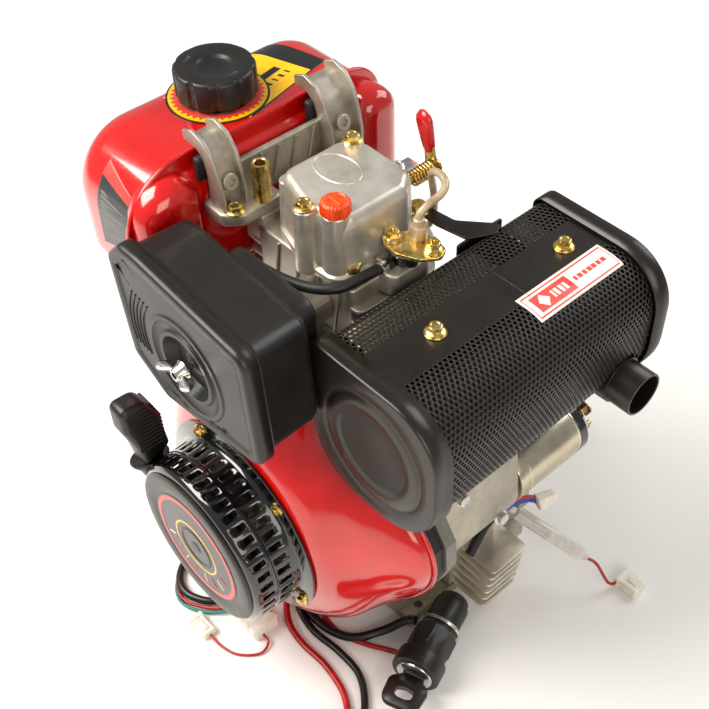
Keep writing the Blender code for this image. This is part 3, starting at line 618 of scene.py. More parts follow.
RED_LEAD = [(0, -46.6, 9.5), (0, -72, 8), (10, -104, 5), (34, -124, 4), (62, -130, 4),
            (94, -129, 4), (124, -134, 4), (140, -141.4, 4), (150.6, -149.4, 4)]
COIL_CENTRE = (188, -186)
COIL_TURNS = ((47.4, 3.9), (40.4, 3.9), (33.5, 3.9), (47.4, 10.9), (40.4, 10.9), (33.5, 10.9))
BLACK_LOOM = [(20, -46.6, 9), (20, -68, 8), (30, -98, 5), (60, -103, 5), (90, -92, 5),
              (107, -67, 9), (116, -50, 16), (122, -43.8, 22), (127.6, -41.4, 24)]
HARNESS = [(-24, -46.6, 9.5), (-30, -72, 8), (-58, -104, 5), (-86, -132, 4.4), (-92, -154, 4.4),
           (-80, -172, 4.4), (-60, -178, 4.4), (-38, -168, 4.4), (-27, -152, 5),
           (-16.2, -148.6, 6)]
SIGNAL = [(30.4, -152, 6), (39, -153, 4), (42, -166, 2), (28, -182, 1.7), (10, -188, 1.7),
          (-5.6, -189, 4)]
FUSE_START, FUSE_END = Vector((128, 84, 88)), Vector((200, 122, 42))


def lead(name, route, radius, look, replaced):
    """A free lead along a route in millimetres."""
    made = tube(name, route, radius, look, "engine", replaced)
    return made


def coil_route(start):
    """A neat two-layer coil that begins near a point beside it."""
    turn = math.atan2(start.y - COIL_CENTRE[1], start.x - COIL_CENTRE[0])
    route = []
    steps = 24
    for index, (radius, height) in enumerate(COIL_TURNS):
        for step in range(steps if index < len(COIL_TURNS) - 1 else steps // 2):
            share = step / steps
            after = COIL_TURNS[min(index + 1, len(COIL_TURNS) - 1)]
            ease = max(0.0, share - 0.8) / 0.2
            ease = ease * ease * (3 - 2 * ease)
            here = radius + (after[0] - radius) * ease
            high = height + (after[1] - height) * ease
            angle = turn + 2 * math.pi * share
            route.append(Vector((COIL_CENTRE[0] + here * math.cos(angle),
                                 COIL_CENTRE[1] + here * math.sin(angle), high)))
    return route


class ENGINE_OT_leads(bpy.types.Operator):
    """Lay the battery lead, the looms and the signal and fuse leads"""

    bl_idname = "engine.leads"
    bl_label = "Leads"

    def execute(self, context):
        straight = smooth_path(RED_LEAD, 6)
        route = straight[:-1] + coil_route(straight[-1])
        lead("battery_lead", route, 3.3, "pvc_red", ("red_lead", "red_lead_coil"))
        lead("switch_loom", smooth_path(BLACK_LOOM, 6), 4.4, "pvc_black", "black_loom")
        lead("harness_loom", smooth_path(HARNESS, 6), 3.9, "pvc_black", "harness_lead")
        lead("signal_wire", smooth_path(SIGNAL, 3), 1.3, "pvc_red", "signal_lead")
        run = (FUSE_END - FUSE_START).normalized()
        lead("fuse_wire", smooth_path([FUSE_END + run * 0.4, FUSE_END + run * 12, (222, 132, 14),
                                       (226, 138, 8), (226, 141.2, 7)], 3), 1.6, "pvc_red",
             "fuse_lead")
        offsets = (("harness_wire_red", "pvc_red", (3, -6), 1.7),
                   ("harness_wire_teal", "pvc_teal", (7, -9.4), 1.7))
        for name, look, (shift_x, shift_y), radius in offsets:
            path = [(x + shift_x, y + shift_y if index else y, max(z - 1.5, radius + 0.2))
                    for index, (x, y, z) in enumerate(HARNESS[:8])]
            path.append((-22 + shift_x, -157 + shift_y / 2, 5))
            lead(name, smooth_path(path, 6), radius, look, ())
        path = [(10, -46.6, 4.6), (12, -76, 4), (26, -104, 4), (58, -113, 4), (92, -110, 4),
                (124, -112, 4), (150, -128, 4), (166, -148, 4)]
        lead("earth_lead", smooth_path(path, 6), 3.6, "pvc_black", ())
        path = [(28, -46.6, 3.4), (32, -72, 3.2), (48, -92, 3.2), (78, -96, 3.2), (104, -86, 3.2),
                (124, -74, 3.2), (140, -66, 3.2)]
        lead("switch_feed", smooth_path(path, 6), 2.6, "pvc_red", ())
        return {"FINISHED"}


# ---------------------------------------------------------------- exhaust

BAND = (111, 152)
SHIELD_ENDS = (-90, 147)
TAIL_PIPE = (112, 308)
EXHAUST_ELBOW = (20, 372)


def muffler_outline(inset=0.0, arc_points=10):
    return rounded([(72 + inset, 406 - inset, 10), (205 - inset, 406 - inset, 46),
                    (205 - inset, 268 + inset, 60), (72 + inset, 268 + inset, 50)], arc_points)


def is_solid(x, y, z):
    """True where the shield's sheet has no holes."""
    on_band = z > 398 and BAND[0] < x < BAND[1]
    at_ends = not SHIELD_ENDS[0] + 7 < y < SHIELD_ENDS[1] - 7
    return on_band or at_ends or (x < 76 and z < 396)


def perforated_sheet(name, outline, low, high, pitch, hole, look, stands_for):
    """Wrap a sheet of staggered round holes round an outline, between two stations along Y."""
    corners = [Vector(point) for point in outline]
    runs = [0.0]
    for a, b in zip(corners, corners[1:] + corners[:1]):
        runs.append(runs[-1] + (b - a).length)

    def at(distance):
        distance %= runs[-1]
        for index in range(len(corners)):
            if runs[index + 1] >= distance:
                share = (distance - runs[index]) / (runs[index + 1] - runs[index])
                return corners[index].lerp(corners[(index + 1) % len(corners)], share)
        return corners[0]

    rows = 2 * round(runs[-1] / (pitch * math.sqrt(3)))
    row_step = runs[-1] / rows
    count = round((high - low) / pitch)
    step = (high - low) / count
    reach = row_step / 1.5
    points, faces, known = [], [], {}

    def point_at(distance, y):
        key = (round((distance % runs[-1]) * 50) % round(runs[-1] * 50), round(y * 50))
        if key not in known:
            x, z = at(distance)
            known[key] = len(points)
            points.append((x, y, z))
        return known[key]

    for row in range(rows):
        for column in range(count):
            middle = row * row_step
            y = low + (column + 0.5 * (row % 2)) * step
            x, z = at(middle)
            pipe = x > 190 and (y - TAIL_PIPE[0]) ** 2 + (z - TAIL_PIPE[1]) ** 2 < 23.5 ** 2
            elbow = x < 80 and (y - EXHAUST_ELBOW[0]) ** 2 + (z - EXHAUST_ELBOW[1]) ** 2 < 22 ** 2
            if pipe or elbow:
                continue
            rim = [point_at(middle + reach * share * 1.0, y + step * across)
                   for share, across in ((0.5, 0.5), (1.0, 0.0), (0.5, -0.5), (-0.5, -0.5),
                                         (-1.0, 0.0), (-0.5, 0.5))]
            if is_solid(x, y, z):
                faces.append(tuple(rim))
                continue
            inner = []
            for turn in range(12):
                angle = math.radians(30 * turn)
                inner.append(point_at(middle + hole / 2 * math.sin(angle),
                                      y + hole / 2 * math.cos(angle)))
            for side in range(6):
                first = 1 + 2 * side
                faces.append((rim[side], rim[(side + 1) % 6], inner[(first + 2) % 12],
                              inner[(first + 1) % 12], inner[first]))
    return skin(name, points, faces, look, "engine", stands_for, sharp=60)


def scaled_ring(outline, share, y, centre=(138.5, 337), oval=0.0):
    """The outline drawn in towards its centre, turned towards an oval by a share."""
    ring = []
    for x, z in outline:
        a, b = (x - centre[0]) * share, (z - centre[1]) * share
        angle = math.atan2(b / 69, a / 66.5)
        round_a, round_b = 66.5 * share * math.cos(angle), 69 * share * math.sin(angle)
        ring.append((centre[0] + a + (round_a - a) * oval, y, centre[1] + b + (round_b - b) * oval))
    return ring


class ENGINE_OT_exhaust(bpy.types.Operator):
    """Make the perforated heat shield, its pressed caps, the silencer and the tail pipe"""

    bl_idname = "engine.exhaust"
    bl_label = "Exhaust"

    def execute(self, context):
        sizes = context.scene.engine_sizes
        shield = perforated_sheet("heat_shield_perforated", muffler_outline(3), *SHIELD_ENDS,
                                  sizes.pitch, sizes.hole, "paint_black_heat_resistant",
                                  "heat_shield")
        add_thickness(shield, sizes.sheet)
        outline = even_outline(muffler_outline())
        for name, rim, way, node in (("muffler_pan_front", -84.8, -1, "muffler_cap_front"),
                                     ("muffler_pan_rear", 141.8, 1, "muffler_cap_rear")):
            face = rim + way * 16
            profile = [(1.0, rim - way * 1.5, 0), (1.0, face - way * 2.4, 0), (0.995, face - way * 0.9, 0),
                       (0.985, face - way * 0.2, 0), (0.97, face, 0), (0.9, face, 0.2),
                       (0.8, face, 0.8), (0.785, face - way * 0.5, 0.9), (0.76, face - way * 1.0, 1),
                       (0.735, face - way * 0.5, 1), (0.72, face, 1), (0.6, face, 1),
                       (0.56, face - way * 0.2, 1), (0.54, face - way * 0.9, 1),
                       (0.51, face - way * 1.2, 1), (0.3, face - way * 1.2, 1), (0.0, face - way * 1.2, 1)]
            rings = [scaled_ring(outline, share, y, oval=oval) for share, y, oval in profile]
            pan = loft(name, rings, "paint_black_heat_resistant", "engine", node, 50, caps=False)
            add_thickness(pan, 1.4)
        plate("silencer_shell", rounded([(88, 392, 30), (190, 392, 44), (190, 284, 48),
                                         (88, 284, 44)], 8), -80, 137, "Y", 3,
              "paint_black_heat_resistant", "engine", ())
        # Bright strips under the shield's inner edge are painted light: they stand in for the light
        # showing through the holes there.
        for low, high, index in ((-74, 62, 0), (96, 122, 1)):
            box(f"silencer_painted_backlight_{index}", (80, low, 394.5), (106, high, 397.5), 1.0,
                "steel_aluminised")
        for index, (x, y) in enumerate(((129, -28), (130, 111))):
            washer(f"shield_washer_{index}", (x, y, 403), (0, 0, 1), 8.6, 3, 1.2)
            bolt(f"shield_bolt_{index}", (x, y, 404.6), (0, 0, 1), 10, 6.2, 7.4)
        tube("shield_seam", [(BAND[0] + 1, 50, 403), (BAND[1] - 1, 50, 403)], 0.35,
             "paint_black_heat_resistant")
        profile = [(20.4, 188), (20.4, 190), (19.6, 191), (19.6, 225.4), (19.2, 226), (17.9, 226),
                   (17.6, 225.6), (17.6, 188), (20.4, 188)]
        turned("tail_pipe_flared", profile, (0, *TAIL_PIPE), (1, 0, 0),
               "paint_black_heat_resistant", "engine", "tail_pipe", 72)
        washer("tail_pipe_collar", (190, *TAIL_PIPE), (1, 0, 0), 21.2, 19.4, 13.4,
               "paint_black_heat_resistant")
        wrap = muffler_outline(3)
        points = [Vector((x, y, z)) * MM for y in SHIELD_ENDS for x, z in wrap]
        tree = BVHTree.FromPolygons(points, ring_faces(2, len(wrap)))
        corners = ((146, 38, 404), (146, 132, 404), (174, 132, 404), (174, 38, 404))

        def paint(u, v):
            near = min(u * 94, (1 - u) * 94, v * 27, (1 - v) * 27)
            if 2.2 < near < 3.2:
                return 1
            if 0.08 < u < 0.5 and 0.2 < v < 0.8:
                inside = 0.12 < u < 0.24 and abs(v - 0.5) < 0.24 * (1 - abs(u - 0.18) / 0.06)
                bars = 0.28 < u < 0.46 and 0.38 < v < 0.62 and int(u * 60) % 3
                return 0 if inside or bars else 1
            return 1 if 0.54 < u < 0.92 and 0.42 < v < 0.58 and int(u * 70) % 4 else 0

        decal("shield_label", tree, corners, (130, 38), 0.25, (-0.25, 0, -1),
              ("vinyl_white", "vinyl_red"), paint)
        return {"FINISHED"}


# ---------------------------------------------------------------- tank, cap and bracket

def tank_outline(inset=0.0, arc_points=12):
    return rounded([(-128 + inset, 334 + inset, 30), (120 - inset, 334 + inset, 30),
                    (120 - inset, 462 - inset, 36 - inset / 2),
                    (-128 + inset, 462 - inset, 54 - inset / 2)], arc_points)


class ENGINE_OT_tank(bpy.types.Operator):
    """Make the pressed tank, its seam, cap, labels and filler ring"""

    bl_idname = "engine.tank"
    bl_label = "Fuel tank"

    def execute(self, context):
        sizes = context.scene.engine_sizes
        depth = 36
        rings = [[(-200, y, z) for y, z in tank_outline(depth * 0.72 + 3)]]
        for turn in range(0, 91, 6):
            inset = depth * (1 - math.sin(math.radians(turn)))
            x = -200 + depth * (1 - math.cos(math.radians(turn)))
            rings.append([(x, y, z) for y, z in tank_outline(inset * 0.72)])
        rings.append([(-99.5, y, z) for y, z in tank_outline()])
        tank = loft("tank_shell", rings, "enamel_red_gloss", "engine", "fuel_tank", 60)
        rim = rounded([(-137, 326, 32), (128, 326, 32), (128, 463, 34), (-137, 463, 62)], 12)
        plate("tank_seam_flange", rim, -103, -98.6, "X", 1.6, "enamel_red_gloss")
        for label, low, high, radii, edge in (
                ("front", (-118, -130, 336), (-78, -72, 453), (22, 22, 22, 34), 17),
                ("rear", (-114, 80, 340), (-66, 124, 451), (20, 20, 20, 20), 15),
                ("middle", (-108, -92, 342), (-89, 100, 450), (14, 14, 14, 14), 8)):
            corners = [(low[1], low[2], radii[0]), (high[1], low[2], radii[1]),
                       (high[1], high[2], radii[2]), (low[1], high[2], radii[3])]
            plate(f"tank_inner_{label}", rounded(corners, 12), low[0], high[0], "X", edge,
                  "enamel_red_gloss", sharp=60)
        tube("tank_ridge", smooth_path([(-90, -76, 352), (-87, -74, 380), (-87, -70, 410),
                                        (-90, -64, 440)], 4), 3.4, "enamel_red_gloss")
        turned("tank_spigot_pipe", [(0, -98), (4.2, -98), (4.2, -78), (5.0, -77), (5.0, -75.4),
                                    (4.4, -74.6), (4.0, -72.6), (2.4, -72), (2.4, -80), (0, -80)],
               (0, -93, 400), (1, 0, 0), "enamel_red_gloss", steps=32)
        turned("tank_neck_rim", [(24.5, 460), (30, 461.6), (30, 464.6), (25, 465.6), (24.5, 460)],
               (*CAP_CENTRE, 0), (0, 0, 1), "enamel_black_gloss")
        teeth = 40

        def zigzag(angle, radius):
            share = abs((angle * teeth / (2 * math.pi)) % 1 - 0.5) * 2
            return radius - 3.6 * share if radius > 36 else radius

        for name, radius, height, look, steps in (
                ("base", 42.5, 462.5, "vinyl_black", 80), ("band", 40.6, 463.2, "vinyl_yellow", 80),
                ("teeth", 38.6, 463.9, "vinyl_red", teeth * 4)):
            turned(f"cap_ring_{name}", [(28, height - 0.6), (radius, height - 0.6), (radius, height),
                                        (28, height), (28, height - 0.6)], (*CAP_CENTRE, 0),
                   (0, 0, 1), look, steps=steps, shape=zigzag if name == "teeth" else None)

        def scallop(angle, radius):
            if radius < 31.5:
                return radius
            wave = math.cos(angle * sizes.scallops)
            return radius - 1.7 * max(0.0, wave) ** 3

        profile = [(25, 467), (33.2, 467), (33.7, 467.6), (33.6, 487.4), (33.2, 489), (32.2, 490.3),
                   (31.2, 490.8), (30, 491), (16, 490.6), (14.6, 490), (13.4, 488.8), (11, 488),
                   (6, 487.4), (0, 487.2)]
        profile = [(0, 475), (24.6, 475)] + profile
        turned("fuel_cap_scalloped", profile, (*CAP_CENTRE, 0), (0, 0, 1), "abs_black_grained",
               "fuel_cap", "fuel_cap", 180, 40, scallop)
        for index in range(24):
            angle = math.radians(200 + index * 5 + (60 if index > 11 else 0))
            across = Vector((math.cos(angle), math.sin(angle), 0))
            centre = Vector((*CAP_CENTRE, 490.6))
            tube(f"fuel_cap_mark_{index}", [centre + across * 21, centre + across * 25], 0.5,
                 "abs_black_grained", "fuel_cap")
        tree = surface_tree(tank)
        corners = ((-191, 76, 462), (-127, 93, 462), (-102, -6, 462), (-176, -40, 462))

        def paint_top(u, v):
            if v < 0.2 or u > 0.975:
                return 1
            arrow = abs(u - 0.62) < 0.05 and 0.3 < v < 0.62
            drops = 0.25 < v < 0.6 and 0.72 < u < 0.8 and int(v * 40) % 3 == 0
            return 1 if arrow or drops else 0

        decal("tank_top_sticker", tree, corners, (90, 100), 0.25, (0, 0, -1),
              ("vinyl_yellow", "vinyl_black"), paint_top)
        corners = ((-151, -129, 449), (-109, -129, 437), (-115, -129, 386), (-156, -129, 373))

        def paint_front(u, v):
            if v < 0.13:
                return 1
            lines = 0.24 < v < 0.92 and int(v * 34) % 2 and 0.1 < u < 0.55 + 0.3 * math.sin(v * 40)
            return 2 if lines else 0

        decal("tank_front_label", tree, corners, (40, 60), 0.25, (0, 1, 0),
              ("vinyl_slate", "vinyl_red", "primer_grey"), paint_front)
        return {"FINISHED"}


class ENGINE_OT_bracket(bpy.types.Operator):
    """Add ribs, bosses, cushions, the standoff and the bolts of the tank bracket"""

    bl_idname = "engine.bracket"
    bl_label = "Tank bracket"

    def execute(self, context):
        ledge = rounded([(-86, -74, 5), (-60, -74, 9), (-49, -60, 9), (-49, -20, 7), (-86, -20, 5)], 6)
        plate("bracket_ledge", ledge, 413, 425, "Z", 2.4, "cast_aluminium_blasted", "engine",
              "tank_bracket")
        box("bracket_wall", (-80, -60, 414), (-74, 74, 452.4), 2, "cast_aluminium_blasted")
        box("bracket_rear_foot", (-80, 40, 404), (-50, 74, 420), 2.4, "cast_aluminium_blasted")
        for label, low_y, high_y in (("front", -70, -46), ("rear", 40, 74)):
            arch = rounded([(-80, 414, 0), (-68, 414, 2), (-67, 438, 10), (-74, 466, 14),
                            (-92, 477, 8), (-103, 474, 1), (-102, 470, 1), (-90, 470, 4),
                            (-79.6, 462, 8)], 6)
            plate(f"bracket_arm_{label}", arch, low_y + 1, high_y - 1, "Y", 0.8,
                  "cast_aluminium_blasted")
            outer = [(-60.5, 415), (-60, 436), (-63, 452), (-68.5, 470), (-78, 481), (-92, 485.5),
                     (-104, 480)]
            inner = [(-103, 472), (-92, 474), (-82, 468), (-78, 456), (-76, 440), (-76, 428),
                     (-76, 415)]
            for side, low, high in (("a", low_y - 0.4, low_y + 3), ("b", high_y - 3, high_y + 0.4)):
                plate(f"bracket_rib_{label}_{side}", outer + inner, low, high, "Y", 0.9,
                      "cast_aluminium_blasted")
            middle = (low_y + high_y) / 2
            turned(f"bracket_boss_{label}", [(0, -3), (7.4, -3), (7.0, 2.4), (6.2, 3), (3.4, 3),
                                             (3.2, 1), (0, 1)], (-66.5, middle, 446),
                   (1, 0, 0.25), "cast_aluminium_blasted", steps=40)
            box(f"cushion_{label}", (-88.2, low_y - 5, 445), (-80.6, high_y + 5, 466), 2.4,
                "rubber_moulded", "engine", f"tank_cushion_{label}")
            tube(f"bracket_web_rib_{label}", [(-73, middle, 424), (-66, middle, 426.5),
                                              (-56, middle, 426)], 2.2, "cast_aluminium_blasted")
        for index in range(4):
            y = -28 + index * 18
            tube(f"bracket_web_bar_{index}", [(-73.6, y, 424), (-73.6, y + 7, 450)], 1.7,
                 "cast_aluminium_blasted")

        def shape(angle, radius):
            return min(radius, hexagon(angle, 6.8)) if radius > 6.5 else radius

        profile = [(0, 425.4), (10.4, 425.4), (10.4, 426.4), (7.6, 427), (7.6, 457.6), (7.2, 459.2),
                   (5.2, 459.4), (4.4, 458.6), (4.2, 441), (0, 440)]
        turned("standoff_nut", profile, (-55, -36, 0), (0, 0, 1), "steel_yellow_zinc", "engine",
               "bracket_standoff", 48, 28, shape)
        bolt("bracket_bolt_0", (-57, -62, 425), (0, 0, 1), 10, 6, 7.4)
        bolt("bracket_bolt_1", (-57, 57, 420), (0, 0, 1), 10, 6, 7.4)
        return {"FINISHED"}


# ---------------------------------------------------------------- cylinder head and fuel system

class ENGINE_OT_head(bpy.types.Operator):
    """Make the rocker cover, its plug and bolts, the lever, the injector and its pipes"""

    bl_idname = "engine.head"
    bl_label = "Cylinder head"

    def execute(self, context):
        outline = rounded([(-37, -34, 14), (10, -48, 14), (43, -46, 12), (47, -30, 8),
                           (47, 24, 12), (34, 41, 14), (-18, 43, 16), (-37, 28, 14)], 8)
        rings = []
        for inset, height in ((-3.6, 404.4), (-4, 405), (-4, 409), (-3.4, 410), (-0.6, 411),
                              (0, 412.4), (0.6, 440), (1.0, 450), (1.8, 454.6), (3.2, 457.8),
                              (5.0, 459.8), (6.6, 460.7), (7.6, 461)):
            moved = inset_outline(outline, inset)
            rings.append([(x, y, height) for x, y in moved])
        loft("rocker_cover_casting", rings, "cast_aluminium_lacquered", "engine",
             "rocker_cover", 50)
        for name, (x, y), low, high, wide, narrow in (
                ("front", (13, -49), 405, 461.4, 9.8, 8.6), ("rear", (-25, 32), 405, 461.4, 9.8, 8.6),
                ("plug", (33, -36), 405, 461.6, 12.6, 10.6), ("corner", (-32, -28), 405, 452, 9, 7)):
            turned(f"cover_post_{name}", [(wide, low), (narrow, high - 1), (narrow - 0.8, high),
                                          (0, high)], (x, y, 0), (0, 0, 1),
                   "cast_aluminium_lacquered", steps=40)
        oval = [(-6 + 22 * math.cos(a), 15 * math.sin(a), 461.0)
                for a in (2 * math.pi * step / 64 for step in range(64))]
        tube("cover_oval_line", oval, 0.7, "cast_aluminium_lacquered", closed=True)
        bolt("cover_bolt_0", (13, -49, 461.6), (0, 0, 1), 10, 6, 7.8)
        bolt("cover_bolt_1", (-25, 32, 461.6), (0, 0, 1), 10, 6, 7.8)

        def ribbed(angle, radius):
            if radius < 9:
                return radius
            return min(radius, hexagon(angle, 11.0)) - 0.5 * (math.cos(angle * 24) > 0.3)

        profile = [(0, 461.8), (10.6, 461.8), (11.8, 462.4), (11.8, 470), (11, 471.6), (9.4, 472.8),
                   (8.6, 473), (7.6, 472.2), (0, 472.2)]
        turned("filler_plug_ribbed", profile, (33, -36, 0), (0, 0, 1), "polypropylene_orange",
               "oil_filler_plug", "oil_filler_plug", 144, 30, ribbed)
        box("filler_plug_grip", (25.5, -37.6, 471.6), (40.5, -34.4, 473.2), 0.8,
            "polypropylene_orange", "oil_filler_plug")

        bolt("lever_stop_screw", (16, 42, 452), (0, -0.2, 1), 8, 4.6, 5, "steel_bright_zinc")
        box("lever_stop_tab", (10, 38, 450), (22, 58, 451.6), 0.7, "steel_bright_zinc")
        coil = [Vector((14 + 6.2 * math.cos(t), 57.6 + 22 * t / (2 * math.pi * 7),
                        432 + 6.2 * math.sin(t)))
                for t in (2 * math.pi * step / 24 for step in range(24 * 7 + 1))]
        tube("lever_spring", coil, 0.9, "steel_yellow_zinc")
        lever = "decompression_lever"
        turned("lever_shaft", [(0, 39), (3.9, 39), (3.9, 79), (4.6, 80), (4.6, 83.2), (6.8, 83.4),
                               (6.8, 85.4), (4, 86), (0, 86)], (14, 0, 432), (0, 1, 0),
               "steel_yellow_zinc", lever, lever, 40)
        arm = rounded([(7, 424, 6), (21, 424, 6), (16.5, 446, 4), (9, 472, 4), (-1, 470, 4),
                       (5.5, 444, 4)], 6)
        plate("lever_arm", arm, 80, 82.6, "Y", 0.6, "steel_yellow_zinc", lever)
        rings = []
        for share in range(9):
            t = share / 8
            centre = Vector((10.6 - 9.2 * t, 81.4, 446 + 33 * t))
            swell = (0.78, 0.98, 1.0, 1.0, 1.0, 1.0, 0.97, 0.8, 0.3)[share]
            wide, thick = (5.2 + 4.4 * t) * swell, 4.6 * swell
            rings.append([centre + Vector((wide * math.cos(a), thick * math.sin(a),
                                           wide * math.cos(a) * 0.27))
                          for a in (2 * math.pi * step / 32 for step in range(32))])
        loft("lever_grip", rings, "plastisol_red", lever, (), 60)

        profile = [(10.5, 392.6), (10.5, 411), (11.6, 412), (11.6, 417), (10.6, 418), (9.4, 420),
                   (9.4, 424.4), (0, 424.4)]
        turned("injector_holder", profile, (60.3, 8, 0), (0, 0, 1), "enamel_black_gloss",
               "engine", "injector", 48)
        clamp = rounded([(48, 6, 4), (49.6, -7, 5), (68, -9.4, 10), (84, -2, 10), (94, 12, 5),
                         (89.6, 21.6, 5), (76, 24.6, 10), (57, 20, 10)], 8)
        plate("injector_clamp_plate", clamp, 425, 428.6, "Z", 0.8, "steel_yellow_zinc", "engine",
              "injector_clamp")
        for index, (x, y) in enumerate(((53.5, 0.5), (84, 13.5))):
            washer(f"clamp_washer_{index}", (x, y, 428.7), (0, 0, 1), 7.6, 3, 1.2)
            bolt(f"clamp_nut_{index}", (x, y, 430.2), (0, 0, 1), 10, 6.4, 6.8,
                 "steel_yellow_zinc", "engine", 3.4)
        turned("injector_union_nut", [(4, 428.6), (7.2, 428.6), (7.2, 438), (6.4, 439),
                                      (4.6, 439.2), (4.6, 445), (3, 446), (0, 446)],
               (65, 17, 0), (0, 0, 1), "paint_cream_pipe", "engine", (), 48, 28,
               lambda angle, radius: min(radius, hexagon(angle, 6.3)) if radius > 6.2 else radius)
        pipe = [(65, 17, 443), (65, 17.6, 449), (66, 26, 454.5), (67, 38, 458), (63, 46, 461),
                (54, 50, 462), (45, 52, 459), (38, 56, 450), (34, 62, 434), (30, 68, 416),
                (22, 76, 396), (6, 86, 366), (-24, 93, 336), (-58, 97, 312), (-74, 98, 300),
                (-76, 98, 288.6)]
        tube("injection_line", smooth_path(pipe, 3), 3.1, "paint_cream_pipe", "engine",
             "injector_pipe")
        hose = [(57.2, -4, 409.5), (56, -14, 409.5), (54, -32, 409.5), (50, -52, 409),
                (34, -65, 407), (8, -72, 404), (-22, -76, 402), (-44, -85, 400.4),
                (-60, -93, 400), (-73.6, -93, 400)]
        tube("return_hose", smooth_path(hose, 3), 4.4, "rubber_moulded", "engine",
             "leak_off_hose")
        for name, place, axis in (("injector", (56.4, -13, 409.5), (0.1, -1, 0)),
                                  ("tank", (-64, -93, 400), (-1, 0, 0))):
            turned(f"hose_clip_{name}", [(4.5, -3.4), (5.5, -3.4), (5.7, -2.6), (5.7, 2.6),
                                         (5.5, 3.4), (4.5, 3.4), (4.5, -3.4)], place, axis,
                   "steel_bright_zinc", steps=40)
            across = Vector(axis).cross(Vector((0, 0, 1))).normalized()
            start = Vector(place) + Vector((0, 0, 6.6)) - across * 3.4
            tube(f"hose_clip_screw_{name}", [start, start + across * 8], 1.5,
                 "steel_bright_zinc")
        bolt("head_nut_front", (43, -31, 404), (0, 0, 1), 13, 13, 9.6, "steel_yellow_zinc",
             "engine", 4)
        bolt("head_nut_rear", (21, 59, 404), (0, 0, 1), 12, 8, 8.6)
        strap = rounded([(12, 58, 3), (44, 57, 6), (72, 62, 4), (84, 84, 4), (78, 96, 4), (50, 72, 10),
                         (14, 68, 3)], 6)
        plate("muffler_strap", strap, 402.4, 404.6, "Z", 0.7, "paint_black_heat_resistant",
              "engine", "muffler_bracket")
        plate("muffler_strap_web", rounded([(52, 366, 3), (102, 366, 3), (102, 403, 2), (52, 403, 2)],
                                           4), 71, 73.4, "X", 0.6, "paint_black_heat_resistant")
        block = rounded([(-58, -45.4, 8), (57, -45.4, 6), (57, 46, 16), (30, 57, 12), (-58, 57, 10)], 6)
        plate("head_casting", block, 348.6, 404, "Z", 2.4, "cast_aluminium_blasted", "engine",
              "cylinder_head")
        for index, height in enumerate((356, 370, 384)):
            plate(f"head_fin_{index}", rounded([(-71, -44.6, 8), (66, -44.6, 8), (68, 34, 16),
                                                (20, 69, 16), (-71, 69, 8)], 6), height - 0.2,
                  height + 3.6, "Z", 1.2, "cast_aluminium_blasted")
        plate("injector_pad", rounded([(38, -20, 8), (71, -14, 8), (71, 28, 12), (40, 34, 8)], 6),
              388, 408.2, "Z", 2.2, "cast_aluminium_blasted")
        box("bracket_post", (-74, -44, 380), (-50, -20, 412.6), 3, "cast_aluminium_blasted")
        for index in range(4):
            x = -36 + index * 24
            tube(f"head_gasket_wire_{index}", [(x, -46.3, 352), (x + 9, -46.3, 402)], 1.3,
                 "cast_aluminium_blasted")
        return {"FINISHED"}


# ---------------------------------------------------------------- air cleaner

STUD = (6, 370)


def cleaner_outline(inset=0.0, arc_points=8):
    low_x, high_x = -80 + inset, 93 - inset
    low_z, high_z = 306 + inset, 449 - inset
    return rounded([(low_x + 48, low_z + 2, 12), (high_x - 2, low_z + 20, 14),
                    (high_x - 8, high_z - 14, 14), (low_x + 40, high_z, 12),
                    (low_x + 20, high_z, 8), (low_x, high_z - 20, 8), (low_x + 8, low_z + 26, 12)],
                   arc_points)


def towards_circle(outline, share, radius):
    """The outline drawn a share of the way to a circle round the cover stud."""
    moved = []
    for x, z in outline:
        a, b = x - STUD[0], z - STUD[1]
        scale = radius / math.hypot(a, b)
        moved.append((STUD[0] + a * (1 - share + share * scale),
                      STUD[1] + b * (1 - share + share * scale)))
    return moved


